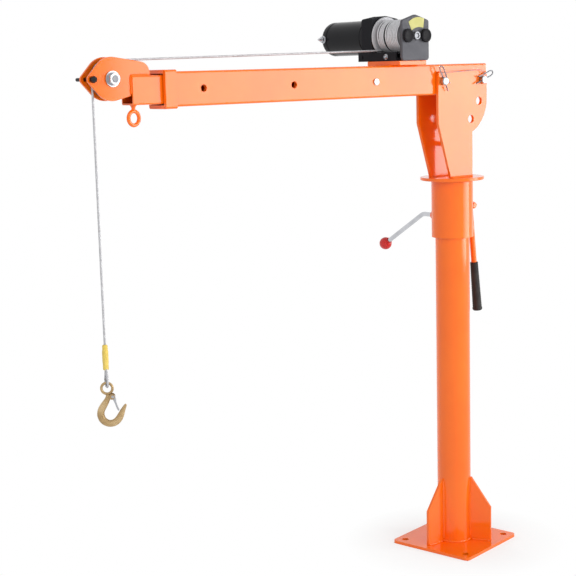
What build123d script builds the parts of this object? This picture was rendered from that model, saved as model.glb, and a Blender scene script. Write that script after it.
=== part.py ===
"""Swivelling pick-up truck crane with an electric rope winch, a telescopic boom and a lifting hook.

Frame: the origin is the centre of the base plate's underside, +Z is up and +X runs along the boom.
Every piece is built where it sits on the crane, in millimetres.
"""
from build123d import *
import math
import os

# Base plate, post and gussets
PLATE_SIDE = 240.0
PLATE_T = 8.0
PLATE_CORNER_R = 12.0
PLATE_TURN = 11.0
BOLT_SPACING = 190.0
BOLT_HOLE_D = 18.0
POST_OD = 89.0
POST_WALL = 5.0
GUSSET_COUNT = 3
GUSSET_T = 8.0
GUSSET_REACH = 101.0
GUSSET_KNEE = 93.0
GUSSET_RISE = 172.0
GUSSET_LEDGE = 4.0

# Swivel head
FLANGE_TOP = 985.0
FLANGE_T = 8.0
FLANGE_OD = 165.0
COLLAR_OD = 108.0
COLLAR_WALL = 6.0
COLLAR_LEN = 149.0
BUSH_LEN = 28.0
BUSH_INSET = 6.0
THRUST_WASHER_T = 5.0
THRUST_WASHER_D = 80.0
POST_CAP_T = 6.0
RUNNING_FIT = 0.05

# Head cheeks, pivot and index holes
CHEEK_T = 8.0
CHEEK_SIDE_GAP = 2.0
CHEEK_FRONT_X = 87.0
CHEEK_REAR_EDGE = 19.0
CHEEK_NECK_X = -35.0
CHEEK_BACK_R = 93.0
CHEEK_BACK_DROP = 47.0
CHEEK_FOOT_X = 44.0
CHEEK_KNEE_DROP = 106.0
CHEEK_TOP_RISE = 24.0
CHEEK_CORNER_R = 10.0
PIVOT_X = 72.0
PIVOT_RISE = 246.0
INDEX_RADIUS = 142.0
INDEX_STEP = 22.0
INDEX_COUNT = 3
INDEX_HOLE_D = 21.0
TIE_D = 13.0
TIE_X = -25.0
TIE_RISE = 82.0

# Pins and their spring clips
PIN_D = 20.0
PIN_HEAD_D = 30.0
PIN_HEAD_T = 6.0
PIN_TAIL = 13.0
CLIP_WIRE_D = 3.2
CLIP_LEG = 30.0
CLIP_BEND_R = 7.5
CLIP_GAP = 0.3
CLIP_TURNS = (62.0, 160.0)
CLIP_SIDES = (1, -1)

# Boom tubes
BOOM_W = 60.0
BOOM_H = 76.0
BOOM_WALL = 4.0
BOOM_CORNER_R = 5.0
BOOM_TAIL_EDGE = 27.0
BOOM_FRONT_X = 902.0
BOOM_PIVOT_RISE = 4.0
SLEEVE_OD = 28.0
BAND_LEN = 30.0
BAND_T = 4.0
BAND_CORNER_R = 5.0
LOCK_HOLE_D = 18.0
LOCK_HOLE_FRONT_X = 799.0
LOCK_HOLE_PITCH = 255.0
LOCK_HOLE_COUNT = 3
EXTENSION_GAP = 3.0
EXTENSION_WALL = 4.0
EXTENSION_CORNER_R = 4.0
EXTENSION_END_X = 978.0
EXTENSION_LEN = 530.0
EXTENSION_HOLE_COUNT = 2
SLIDE_PAD_LEN = 36.0
SLIDE_PAD_MOUTH_GAP = 22.0
SLIDE_PAD_PITCH = 120.0
SLIDE_PAD_EDGE = 8.0
SLIDE_FIT = 0.3
SLIDE_PAD_SETS = 2

# Sheave head
AXLE_X = 1024.0
AXLE_RISE = 29.5
SHEAVE_PITCH_R = 38.5
SHEAVE_R = 42.5
SHEAVE_W = 14.0
SHEAVE_WEB_T = 8.0
SHEAVE_RIM = 9.0
SHEAVE_HUB_D = 32.0
SHEAVE_BUSH_D = 22.0
GROOVE_GAP = 0.3
GROOVE_FLARE = 25.0
CHEEK_PLATE_T = 6.0
CHEEK_PLATE_GAP = 1.5
CHEEK_PLATE_R = 46.0
TIP_REACH = 48.0
TIP_R = 11.0
TAIL_REACH = 94.0
TAIL_H = 26.0
TAIL_CORNER_R = 20.0
HEEL_DROP = 36.5
HEEL_R = 2.0
AXLE_D = 16.0
AXLE_HEAD_AF = 24.0
AXLE_HEAD_T = 10.0
AXLE_WASHER_D = 34.0
AXLE_WASHER_T = 3.0
AXLE_TAIL = 4.0
KEEPER_D = 8.0
KEEPER_HEAD_AF = 13.0
KEEPER_HEAD_T = 6.0
KEEPER_TAIL = 25.0

# Eye under the boom tip
EYE_X = 964.0
EYE_WIRE_D = 9.5
EYE_OD = 42.0
EYE_SHANK = 9.0
EYE_TURN = 10.0

# Winch
WINCH_X = 191.0
WINCH_AXIS_RISE = 59.5
WINCH_PLATE_L = 91.0
WINCH_PLATE_W = 116.0
WINCH_PLATE_T = 11.0
WINCH_BASE_T = 8.0
BED_WALL_T = 5.0
BED_WALL_ROPE_GAP = 3.0
WINCH_BOLT_D = 8.0
WINCH_BOLT_AF = 13.0
WINCH_BOLT_HEAD_T = 5.5
WINCH_BOLT_EDGE = 9.5
WINCH_BOLT_Y = 12.0
HOUSING_W = 91.0
HOUSING_SHOULDER = 42.0
HOUSING_PEAK = 50.5
HOUSING_CORNER_R = 9.0
GEAR_HOUSING_T = 24.0
GEAR_EDGE_R = 3.0
MOTOR_HOUSING_T = 38.0
BRACKET_FOOT_REACH = 13.5
BRACKET_FOOT_H = 28.0
MOTOR_D = 82.0
MOTOR_LEN = 134.0
MOTOR_CAP_LEN = 21.0
MOTOR_CAP_ROUND = 7.0
STUD_D = 8.0
STUD_LEN = 19.0
STUD_NUT_AF = 13.0
STUD_NUT_T = 6.0
STUD_WASHER_D = 17.0
STUD_WASHER_T = 2.0
STUD_SETBACK = 10.0

# Drum, rope and clutch
ROPE_D = 5.0
ROPE_TURN_PITCH = 5.6
WOUND_R = 33.0
ROPE_GAP = 0.3
GAP_SAMPLES = 36
DRUM_CENTRE_Y = 2.0
DRUM_LEN = 80.0
DRUM_FLANGE_D = 98.0
DRUM_FLANGE_T = 4.0
DRUM_BARREL_D = 46.0
DRUM_SIDE_GAP = 2.0
JOURNAL_D = 34.0
JOURNAL_LEN = 12.0
DRUM_BUSH_T = 3.0
DIAL_TOP_W = 53.0
DIAL_LOW_W = 39.5
DIAL_H = 21.5
DIAL_TOP_BULGE = 7.0
DIAL_LOW_BULGE = 4.5
DIAL_RISE = 26.0
DIAL_SHIFT = 4.0
DIAL_TURN = 8.5
DIAL_T = 0.8
KNOB_LOBE_R = 14.5
KNOB_LOBE_OFFSET = 30.0
KNOB_BAR_W = 16.0
KNOB_T = 7.0
KNOB_STANDOFF = 0.8
HUB_D = 20.0
HUB_CAP_T = 2.5
STEM_D = 10.0
STEM_END_WALL = 2.0

# Hook and its rope end
SLEEVE_TOP_Z = 696.5
ROPE_SLEEVE_LEN = 55.0
ROPE_SLEEVE_D = 13.5
ROPE_SLEEVE_ROUND = 2.2
HOOK_TURN = 141.4
HOOK_EYE_Z = 600.5
HOOK_EYE_R = 12.0
HOOK_WIRE_D = 5.8
HOOK_T = 13.0
HOOK_BOWL_AT = (3.5, -54.0)
HOOK_BOWL_R = 26.8
HOOK_THROAT_AT = (4.0, -50.5)
HOOK_THROAT_R = 13.5
HOOK_HORN_ROOT = (22.9, -56.0)
HOOK_HORN_ROOT_R = 6.3
HOOK_HORN_TIP = (33.4, -35.0)
HOOK_HORN_TIP_R = 3.0
HOOK_BACK_LOW = (-14.5, -45.0)
HOOK_BACK_LOW_R = 8.0
HOOK_BACK_HIGH = (-9.5, -33.5)
HOOK_BACK_HIGH_R = 7.5
HOOK_NECK_LOW = (-3.0, -31.0)
HOOK_NECK_LOW_R = 5.0
HOOK_NECK_HIGH = (3.0, -16.0)
HOOK_NECK_HIGH_R = 5.5
HOOK_MOUTH_FROM = (-31.0, 58.6)
HOOK_MOUTH_TO = (140.0, 50.0)
THIMBLE_R = 8.0
THIMBLE_T = 1.1
THIMBLE_W = 6.5
HANG_GAP = 0.2
LOOP_TWIST = 18.0
LATCH_PIVOT_U = 12.5
LATCH_PIVOT_DROP = 18.0
LATCH_PIN_D = 4.0
LATCH_W = 9.0
LATCH_T = 3.0
LATCH_LEN = 29.5
LATCH_TURN = 76.0
LATCH_SWING = 40.0
LATCH_EYE_D = 9.0
LATCH_LUG_R = 6.2
LATCH_SIDE_GAP = 0.4

# Swivel lock lever
LOCK_RISE = 52.0
LOCK_BOSS_D = 26.0
LOCK_BOSS_LEN = 15.0
LEVER_D = 12.0
LEVER_REACH = 108.5
LEVER_BEND_R = 18.0
LEVER_ARM = 174.5
LEVER_DROP_ANGLE = 31.7
LEVER_BALL_D = 34.0
LOCK_PAD_T = 3.0
LOCK_PAD_GAP = 0.3

# Push handle
HANDLE_RISE = 77.0
HANDLE_PIVOT_OUT = 12.0
HANDLE_D = 15.0
HANDLE_LEAN = 5.5
HANDLE_LEN = 282.0
HANDLE_EYE_D = 24.0
GRIP_D = 26.0
GRIP_LEN = 132.0
HANDLE_BOLT_D = 10.0
HANDLE_BOLT_AF = 17.0
HANDLE_BOLT_HEAD_T = 6.5
LUG_T = 6.0
LUG_GAP = 0.5
LUG_EDGE = 12.0
GRIP_END_WALL = 4.0
GRIP_ROUND = 4.3

# Places worked out from the sizes above
POST_R = POST_OD / 2
COLLAR_R = COLLAR_OD / 2
FLANGE_BOTTOM = FLANGE_TOP - FLANGE_T
COLLAR_BOTTOM = FLANGE_BOTTOM - COLLAR_LEN
POST_CAP_TOP = FLANGE_BOTTOM - THRUST_WASHER_T
POST_TOP = POST_CAP_TOP - POST_CAP_T
PIVOT_Z = FLANGE_TOP + PIVOT_RISE
BOOM_Z = PIVOT_Z + BOOM_PIVOT_RISE
BOOM_TOP = BOOM_Z + BOOM_H / 2
CHEEK_INNER_Y = BOOM_W / 2 + CHEEK_SIDE_GAP
CHEEK_OUTER_Y = CHEEK_INNER_Y + CHEEK_T
LOCK_PIN_X = PIVOT_X - INDEX_RADIUS
CHEEK_REAR_X = LOCK_PIN_X - CHEEK_REAR_EDGE
BOOM_TAIL_X = LOCK_PIN_X - BOOM_TAIL_EDGE
EXTENSION_W = BOOM_W - 2 * (BOOM_WALL + EXTENSION_GAP)
EXTENSION_H = BOOM_H - 2 * (BOOM_WALL + EXTENSION_GAP)
EXTENSION_TOP = BOOM_Z + EXTENSION_H / 2
EXTENSION_BOTTOM = BOOM_Z - EXTENSION_H / 2
AXLE_Z = BOOM_Z + AXLE_RISE - BOOM_PIVOT_RISE
SHEAVE_PLATE_IN = SHEAVE_W / 2 + CHEEK_PLATE_GAP
SHEAVE_PLATE_OUT = SHEAVE_PLATE_IN + CHEEK_PLATE_T
ROPE_X = AXLE_X + SHEAVE_PITCH_R
WINCH_BOTTOM = BOOM_TOP + WINCH_PLATE_T
WINCH_Z = WINCH_BOTTOM + WINCH_AXIS_RISE
DRUM_NEAR_Y = DRUM_CENTRE_Y + DRUM_LEN / 2
DRUM_FAR_Y = DRUM_CENTRE_Y - DRUM_LEN / 2
GEAR_IN_Y = DRUM_NEAR_Y + DRUM_SIDE_GAP
GEAR_OUT_Y = GEAR_IN_Y + GEAR_HOUSING_T
MOTOR_IN_Y = DRUM_FAR_Y - DRUM_SIDE_GAP
MOTOR_OUT_Y = MOTOR_IN_Y - MOTOR_HOUSING_T
MOTOR_END_Y = MOTOR_OUT_Y - MOTOR_LEN
MOTOR_CAP_Y = MOTOR_END_Y - MOTOR_CAP_LEN
STEM_DEPTH = GEAR_HOUSING_T - JOURNAL_LEN - STEM_END_WALL
WOUND_TURNS = int((DRUM_LEN - 2 * DRUM_FLANGE_T - ROPE_D - 2 * ROPE_GAP) / ROPE_TURN_PITCH)
ROPE_EXIT_Y = DRUM_CENTRE_Y - WOUND_TURNS * ROPE_TURN_PITCH / 2
SLEEVE_BOTTOM_Z = SLEEVE_TOP_Z - ROPE_SLEEVE_LEN
LOCK_Z = COLLAR_BOTTOM + LOCK_RISE
HANDLE_Z = COLLAR_BOTTOM + HANDLE_RISE
HANDLE_X = -(COLLAR_R + HANDLE_PIVOT_OUT)
HOOK_PLANE = Plane(
    origin=(ROPE_X, 0, HOOK_EYE_Z),
    x_dir=(math.cos(math.radians(HOOK_TURN)), math.sin(math.radians(HOOK_TURN)), 0),
    z_dir=(math.sin(math.radians(HOOK_TURN)), -math.cos(math.radians(HOOK_TURN)), 0),
)


def block(x0, x1, y0, y1, z0, z1):
    """A box between two corners."""
    centre = Pos((x0 + x1) / 2, (y0 + y1) / 2, (z0 + z1) / 2)
    return centre * Box(x1 - x0, y1 - y0, z1 - z0)


def rod_x(y, z, d, x0, x1):
    """A round bar along X."""
    return Pos((x0 + x1) / 2, y, z) * Rot(0, 90, 0) * Cylinder(d / 2, x1 - x0)


def rod_y(x, z, d, y0, y1):
    """A round bar along Y."""
    return Pos(x, (y0 + y1) / 2, z) * Rot(90, 0, 0) * Cylinder(d / 2, y1 - y0)


def rod_z(x, y, d, z0, z1):
    """A round bar along Z."""
    return Pos(x, y, (z0 + z1) / 2) * Cylinder(d / 2, z1 - z0)


def hex_y(x, z, across_flats, y0, y1):
    """A hexagon bar along Y, for bolt heads and nuts."""
    plane = Plane(origin=(x, y1, z), x_dir=(1, 0, 0), z_dir=(0, -1, 0))
    return extrude(plane * RegularPolygon(across_flats / 2, 6, major_radius=False), y1 - y0)


def side_plate(sketch, y0, y1):
    """A sketch drawn in X and Z, given a thickness from y0 to y1."""
    plane = Plane(origin=(0, y1, 0), x_dir=(1, 0, 0), z_dir=(0, -1, 0))
    return extrude(plane * sketch, y1 - y0)


def box_tube(width, height, wall, corner_r, x0, x1):
    """A rectangular tube along X, round at its long edges."""
    plane = Plane(origin=(x0, 0, BOOM_Z), x_dir=(0, 1, 0), z_dir=(1, 0, 0))
    outer = RectangleRounded(width, height, corner_r)
    inner = RectangleRounded(width - 2 * wall, height - 2 * wall, corner_r / 2)
    return extrude(plane * (outer - inner), x1 - x0)


def outline(points, radius):
    """A closed polygon with every corner rounded."""
    face = make_face(Polyline(*points, close=True))
    return fillet(face.vertices(), radius)


# Base plate, post and gussets

def base_plate():
    blank = extrude(RectangleRounded(PLATE_SIDE, PLATE_SIDE, PLATE_CORNER_R), PLATE_T)
    reach = BOLT_SPACING / 2
    for x in (-reach, reach):
        for y in (-reach, reach):
            blank -= rod_z(x, y, BOLT_HOLE_D, 0, PLATE_T)
    return Rot(0, 0, PLATE_TURN) * blank


def post_tube():
    ring = Circle(POST_R) - Circle(POST_R - POST_WALL)
    return Pos(0, 0, PLATE_T) * extrude(ring, POST_TOP - PLATE_T)


def gussets():
    points = [
        (0, PLATE_T),
        (GUSSET_REACH, PLATE_T),
        (GUSSET_REACH, PLATE_T + GUSSET_KNEE),
        (POST_R + GUSSET_LEDGE, PLATE_T + GUSSET_RISE),
        (0, PLATE_T + GUSSET_RISE),
    ]
    wing = side_plate(make_face(Polyline(*points, close=True)), -GUSSET_T / 2, GUSSET_T / 2)
    wing -= rod_z(0, 0, POST_OD, 0, POST_TOP)
    step = 360 / GUSSET_COUNT
    return [Rot(0, 0, step * turn) * wing for turn in range(GUSSET_COUNT)]


# Swivel head

def swivel_collar():
    ring = Circle(COLLAR_R) - Circle(COLLAR_R - COLLAR_WALL)
    tube = Pos(0, 0, COLLAR_BOTTOM) * extrude(ring, COLLAR_LEN)
    return tube - rod_y(0, LOCK_Z, LEVER_D + 2 * RUNNING_FIT, -COLLAR_OD, 0)


def swivel_bushes():
    ring = Circle(COLLAR_R - COLLAR_WALL) - Circle(POST_R + RUNNING_FIT)
    sleeve = extrude(ring, BUSH_LEN)
    upper_z = POST_TOP - BUSH_LEN
    return [Pos(0, 0, z) * sleeve for z in (COLLAR_BOTTOM + BUSH_INSET, upper_z)]


def cheek(y0, y1):
    """One upright plate of the head, with the pivot hole and the index holes on an arc about it."""
    back_x = CHEEK_REAR_X + CHEEK_BACK_R
    back_z = PIVOT_Z - CHEEK_BACK_DROP
    neck_turn = math.acos((back_x - CHEEK_NECK_X) / CHEEK_BACK_R)
    rear = (CHEEK_REAR_X, back_z)
    neck = (CHEEK_NECK_X, back_z - CHEEK_BACK_R * math.sin(neck_turn))
    half_turn = neck_turn / 2
    middle = (back_x - CHEEK_BACK_R * math.cos(half_turn), back_z - CHEEK_BACK_R * math.sin(half_turn))
    top = PIVOT_Z + CHEEK_TOP_RISE
    straight = Polyline(
        neck,
        (CHEEK_NECK_X, FLANGE_TOP),
        (CHEEK_FOOT_X, FLANGE_TOP),
        (CHEEK_FRONT_X, PIVOT_Z - CHEEK_KNEE_DROP),
        (CHEEK_FRONT_X, top),
        (CHEEK_REAR_X, top),
        rear,
    )
    face = make_face([straight, ThreePointArc(rear, middle, neck)])
    upper_corners = face.vertices().sort_by(Axis.Y)[-2:]
    plate = side_plate(fillet(upper_corners, CHEEK_CORNER_R), y0, y1)
    plate -= rod_y(PIVOT_X, PIVOT_Z, PIN_D + 2 * RUNNING_FIT, y0, y1)
    for index in range(INDEX_COUNT):
        turn = math.radians(INDEX_STEP * index)
        x = PIVOT_X - INDEX_RADIUS * math.cos(turn)
        z = PIVOT_Z - INDEX_RADIUS * math.sin(turn)
        plate -= rod_y(x, z, INDEX_HOLE_D, y0, y1)
    return plate


def clip_y():
    """The plane across the pin ends in which the spring clips lie."""
    return CHEEK_OUTER_Y + PIN_TAIL / 2


def head_pin(x, clip_turn):
    """A headed pin put in from the far side, cross-drilled for its clip beyond the near cheek."""
    pin = rod_y(x, PIVOT_Z, PIN_D, -CHEEK_OUTER_Y, CHEEK_OUTER_Y + PIN_TAIL)
    pin += rod_y(x, PIVOT_Z, PIN_HEAD_D, -CHEEK_OUTER_Y - PIN_HEAD_T, -CHEEK_OUTER_Y)
    hole = Cylinder(CLIP_WIRE_D / 2 + RUNNING_FIT, 2 * PIN_D)
    return pin - Pos(x, clip_y(), PIVOT_Z) * Rot(0, 90 - clip_turn, 0) * hole


def hitch_clip(x, clip_turn, side):
    """A wire clip: a straight leg through the pin, a round bend, and a leg sprung over the pin."""
    wire_r = CLIP_WIRE_D / 2
    over = PIN_D / 2 + wire_r + CLIP_GAP
    bend = Vector(CLIP_LEG, 0)
    back = Vector(CLIP_LEG, 2 * CLIP_BEND_R)
    crest = Vector(0, over)
    leg = Line((-CLIP_LEG, 0), bend)
    loop = TangentArc(bend, back, tangent=(1, 0))
    spring = TangentArc(back, crest, tangent=(-1, 0))
    flare = TangentArc(crest, crest + Vector(-CLIP_LEG, CLIP_BEND_R), tangent=spring % 1)
    path = Wire([leg, loop, spring, flare])
    section = Plane(origin=path @ 0, z_dir=path % 0) * Circle(wire_r)
    flat = sweep(section, path=path)
    upright = Rot(90, 0, 0) * (flat if side > 0 else mirror(flat, Plane.XZ))
    return Pos(x, clip_y(), PIVOT_Z) * Rot(0, -clip_turn, 0) * upright


# Push handle

def lug_inner_y():
    return HANDLE_D / 2 + LUG_GAP


def handle_bracket():
    """Two lugs on the back of the collar that carry the handle's bolt."""
    lugs = []
    body = rod_z(0, 0, COLLAR_OD, COLLAR_BOTTOM, FLANGE_BOTTOM)
    for side in (-1, 1):
        y0, y1 = sorted((side * lug_inner_y(), side * (lug_inner_y() + LUG_T)))
        lug = block(HANDLE_X, 0, y0, y1, HANDLE_Z - LUG_EDGE, HANDLE_Z + LUG_EDGE)
        lug += rod_y(HANDLE_X, HANDLE_Z, 2 * LUG_EDGE, y0, y1)
        lug -= rod_y(HANDLE_X, HANDLE_Z, HANDLE_BOLT_D, y0, y1)
        lugs.append(lug - body)
    return lugs


def handle_bolt():
    outer = lug_inner_y() + LUG_T
    bolt = rod_y(HANDLE_X, HANDLE_Z, HANDLE_BOLT_D, -outer, outer)
    for y in (-outer - HANDLE_BOLT_HEAD_T, outer):
        bolt += hex_y(HANDLE_X, HANDLE_Z, HANDLE_BOLT_AF, y, y + HANDLE_BOLT_HEAD_T)
    return bolt


def along_handle(shape):
    """Hang a shape built down the local Z axis from the handle's bolt, leaning out from the post."""
    return Pos(HANDLE_X, 0, HANDLE_Z) * Rot(0, HANDLE_LEAN, 0) * shape


def handle_bar():
    bar = rod_z(0, 0, HANDLE_D, -HANDLE_LEN, 0)
    bar += rod_y(0, 0, HANDLE_EYE_D, -HANDLE_D / 2, HANDLE_D / 2)
    bar -= rod_y(0, 0, HANDLE_BOLT_D + 2 * RUNNING_FIT, -HANDLE_D, HANDLE_D)
    return along_handle(bar)


def handle_grip():
    end = HANDLE_LEN + GRIP_END_WALL
    grip = rod_z(0, 0, GRIP_D, -end, GRIP_LEN - end)
    grip = fillet(grip.edges().filter_by(GeomType.CIRCLE), GRIP_ROUND)
    return along_handle(grip - rod_z(0, 0, HANDLE_D, -HANDLE_LEN, 0))


# Swivel lock lever

def lock_boss():
    boss = rod_y(0, LOCK_Z, LOCK_BOSS_D, -COLLAR_R - LOCK_BOSS_LEN, 0)
    boss -= rod_y(0, LOCK_Z, LEVER_D + 2 * RUNNING_FIT, -2 * COLLAR_OD, 0)
    return boss - rod_z(0, 0, COLLAR_OD, COLLAR_BOTTOM, FLANGE_BOTTOM)


def lever_ends():
    """Start, bend and end of the lever's centre line."""
    drop = math.radians(LEVER_DROP_ANGLE)
    start = Vector(0, -(POST_R + LOCK_PAD_GAP + LOCK_PAD_T), LOCK_Z)
    bend = Vector(0, -LEVER_REACH, LOCK_Z)
    end = bend + Vector(0, -math.cos(drop), -math.sin(drop)) * LEVER_ARM
    return start, bend, end


def lever_rod():
    start, bend, end = lever_ends()
    ball_face = end + (bend - end).normalized() * (LEVER_BALL_D / 4)
    path = FilletPolyline(start, bend, ball_face, radius=LEVER_BEND_R)
    section = Plane(origin=start, z_dir=(0, -1, 0)) * Circle(LEVER_D / 2)
    return sweep(section, path=path)


def lever_ball():
    end = lever_ends()[2]
    return Pos(*end) * Sphere(LEVER_BALL_D / 2) - lever_rod()


def lock_pad():
    y = -(POST_R + LOCK_PAD_GAP)
    return rod_y(0, LOCK_Z, LEVER_D - 2 * RUNNING_FIT, y - LOCK_PAD_T, y)


# Boom

def boom_tube():
    """The outer tube, with lock holes along it and an open slot in its tail.

    The slot lets the tail swing down off the lock pin.
    """
    tube = box_tube(BOOM_W, BOOM_H, BOOM_WALL, BOOM_CORNER_R, BOOM_TAIL_X, BOOM_FRONT_X)
    side = BOOM_W / 2
    for index in range(LOCK_HOLE_COUNT):
        x = LOCK_HOLE_FRONT_X - index * LOCK_HOLE_PITCH
        tube -= rod_y(x, BOOM_Z, LOCK_HOLE_D, -side, side)
    tube -= rod_y(PIVOT_X, PIVOT_Z, SLEEVE_OD, -side, side)
    inner = INDEX_RADIUS - INDEX_HOLE_D / 2
    outer = INDEX_RADIUS + INDEX_HOLE_D / 2
    sweep_ring = rod_y(PIVOT_X, PIVOT_Z, 2 * outer, -side, side)
    sweep_ring -= rod_y(PIVOT_X, PIVOT_Z, 2 * inner, -side, side)
    above = block(PIVOT_X - 2 * outer, PIVOT_X - inner / 2, -side, side, PIVOT_Z, PIVOT_Z + BOOM_H)
    tube -= sweep_ring & above
    return tube - rod_y(LOCK_PIN_X, PIVOT_Z, INDEX_HOLE_D, -side, side)


def boom_band():
    band = box_tube(
        BOOM_W + 2 * BAND_T,
        BOOM_H + 2 * BAND_T,
        BAND_T,
        BAND_CORNER_R,
        BOOM_FRONT_X - BAND_LEN,
        BOOM_FRONT_X,
    )
    solid_boom = Pos(BOOM_FRONT_X - BAND_LEN, 0, BOOM_Z) * Rot(90, 0, 90)
    section = RectangleRounded(BOOM_W, BOOM_H, BOOM_CORNER_R)
    return band - solid_boom * extrude(section, BAND_LEN)


def pivot_sleeve():
    side = BOOM_W / 2
    sleeve = rod_y(PIVOT_X, PIVOT_Z, SLEEVE_OD, -side, side)
    return sleeve - rod_y(PIVOT_X, PIVOT_Z, PIN_D + 2 * RUNNING_FIT, -side, side)


# Winch frame

def winch_bolt_places():
    along = HOUSING_W / 2 - BED_WALL_T - WINCH_BOLT_EDGE
    return [(WINCH_X + x, DRUM_CENTRE_Y + y) for x in (-along, along) for y in (-WINCH_BOLT_Y, WINCH_BOLT_Y)]


def winch_plate():
    half = WINCH_PLATE_L / 2
    wide = WINCH_PLATE_W / 2
    plate = block(WINCH_X - half, WINCH_X + half, -wide, wide, BOOM_TOP, WINCH_BOTTOM)
    for x, y in winch_bolt_places():
        plate -= rod_z(x, y, WINCH_BOLT_D, BOOM_TOP, WINCH_BOTTOM)
    return plate


def winch_base():
    half = HOUSING_W / 2
    top = WINCH_BOTTOM + WINCH_BASE_T
    base = block(WINCH_X - half, WINCH_X + half, MOTOR_IN_Y, GEAR_IN_Y, WINCH_BOTTOM, top)
    wall_top = WINCH_Z - WOUND_R - ROPE_D / 2 - BED_WALL_ROPE_GAP
    for x in (WINCH_X - half, WINCH_X + half - BED_WALL_T):
        base += block(x, x + BED_WALL_T, MOTOR_IN_Y, GEAR_IN_Y, WINCH_BOTTOM, wall_top)
    for x, y in winch_bolt_places():
        base -= rod_z(x, y, WINCH_BOLT_D, WINCH_BOTTOM, top)
    return base


def winch_bolts():
    top = WINCH_BOTTOM + WINCH_BASE_T
    bolts = []
    for x, y in winch_bolt_places():
        head = extrude(RegularPolygon(WINCH_BOLT_AF / 2, 6, major_radius=False), WINCH_BOLT_HEAD_T)
        bolts.append(rod_z(x, y, WINCH_BOLT_D, BOOM_TOP, top) + Pos(x, y, top) * head)
    return bolts


def housing(y0, y1):
    """A drum support with a low roof on top."""
    half = HOUSING_W / 2
    points = [
        (WINCH_X - half, WINCH_BOTTOM),
        (WINCH_X + half, WINCH_BOTTOM),
        (WINCH_X + half, WINCH_Z + HOUSING_SHOULDER),
        (WINCH_X, WINCH_Z + HOUSING_PEAK),
        (WINCH_X - half, WINCH_Z + HOUSING_SHOULDER),
    ]
    return side_plate(outline(points, HOUSING_CORNER_R), y0, y1)


def bush_bore():
    return JOURNAL_D + 2 * RUNNING_FIT


def gear_housing():
    body = housing(GEAR_IN_Y, GEAR_OUT_Y)
    body = fillet(body.faces().sort_by(Axis.Y)[-1].edges(), GEAR_EDGE_R)
    body -= rod_y(WINCH_X, WINCH_Z, bush_bore() + 2 * DRUM_BUSH_T, GEAR_IN_Y, GEAR_IN_Y + JOURNAL_LEN)
    stem_bore = STEM_D + 2 * RUNNING_FIT
    return body - rod_y(WINCH_X, WINCH_Z, stem_bore, GEAR_OUT_Y - STEM_DEPTH, GEAR_OUT_Y)


def motor_housing():
    body = housing(MOTOR_OUT_Y, MOTOR_IN_Y)
    foot = block(
        WINCH_X - HOUSING_W / 2,
        WINCH_X + HOUSING_W / 2,
        MOTOR_OUT_Y - BRACKET_FOOT_REACH,
        MOTOR_OUT_Y,
        WINCH_BOTTOM,
        WINCH_BOTTOM + BRACKET_FOOT_H,
    )
    body += foot - rod_y(WINCH_X, WINCH_Z, MOTOR_D, MOTOR_OUT_Y - BRACKET_FOOT_REACH, MOTOR_OUT_Y)
    return body - rod_y(WINCH_X, WINCH_Z, bush_bore() + 2 * DRUM_BUSH_T, MOTOR_IN_Y - JOURNAL_LEN, MOTOR_IN_Y)


def drum_bushes():
    bushes = []
    for y0 in (GEAR_IN_Y, MOTOR_IN_Y - JOURNAL_LEN):
        bush = rod_y(WINCH_X, WINCH_Z, bush_bore() + 2 * DRUM_BUSH_T, y0, y0 + JOURNAL_LEN)
        bushes.append(bush - rod_y(WINCH_X, WINCH_Z, bush_bore(), y0, y0 + JOURNAL_LEN))
    return bushes


def motor_can():
    return rod_y(WINCH_X, WINCH_Z, MOTOR_D, MOTOR_END_Y, MOTOR_OUT_Y)


def motor_end_cap():
    cap = rod_y(WINCH_X, WINCH_Z, MOTOR_D, MOTOR_CAP_Y, MOTOR_END_Y)
    return fillet(cap.edges().filter_by(GeomType.CIRCLE).sort_by(Axis.Y)[0], MOTOR_CAP_ROUND)


def motor_terminals():
    """Two studs through the end cap's side, each with a washer and a nut."""
    y = MOTOR_END_Y - STUD_SETBACK
    studs = []
    for side in (-1, 1):
        flat_x = MOTOR_D / 2
        stud = rod_x(y, WINCH_Z, STUD_D, flat_x, flat_x + STUD_LEN)
        stud += rod_x(y, WINCH_Z, STUD_WASHER_D, flat_x, flat_x + STUD_WASHER_T)
        nut_plane = Plane(origin=(flat_x + STUD_WASHER_T, y, WINCH_Z), x_dir=(0, 1, 0), z_dir=(1, 0, 0))
        stud += extrude(nut_plane * RegularPolygon(STUD_NUT_AF / 2, 6, major_radius=False), STUD_NUT_T)
        turned = stud if side > 0 else mirror(stud, Plane.YZ)
        studs.append(Pos(WINCH_X, 0, 0) * turned)
    return studs


def clutch_dial():
    """A curved strip above the knob, turned a little on the housing's face."""
    top = DIAL_H / 2
    low = -DIAL_H / 2
    corner = [(-DIAL_TOP_W / 2, top), (DIAL_TOP_W / 2, top), (DIAL_LOW_W / 2, low), (-DIAL_LOW_W / 2, low)]
    edges = [
        ThreePointArc(corner[0], (0, top + DIAL_TOP_BULGE), corner[1]),
        Line(corner[1], corner[2]),
        ThreePointArc(corner[2], (0, low + DIAL_LOW_BULGE), corner[3]),
        Line(corner[3], corner[0]),
    ]
    strip = Pos(WINCH_X - DIAL_SHIFT, WINCH_Z + DIAL_RISE) * Rot(0, 0, -DIAL_TURN) * make_face(edges)
    return side_plate(strip, GEAR_OUT_Y, GEAR_OUT_Y + DIAL_T)


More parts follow.
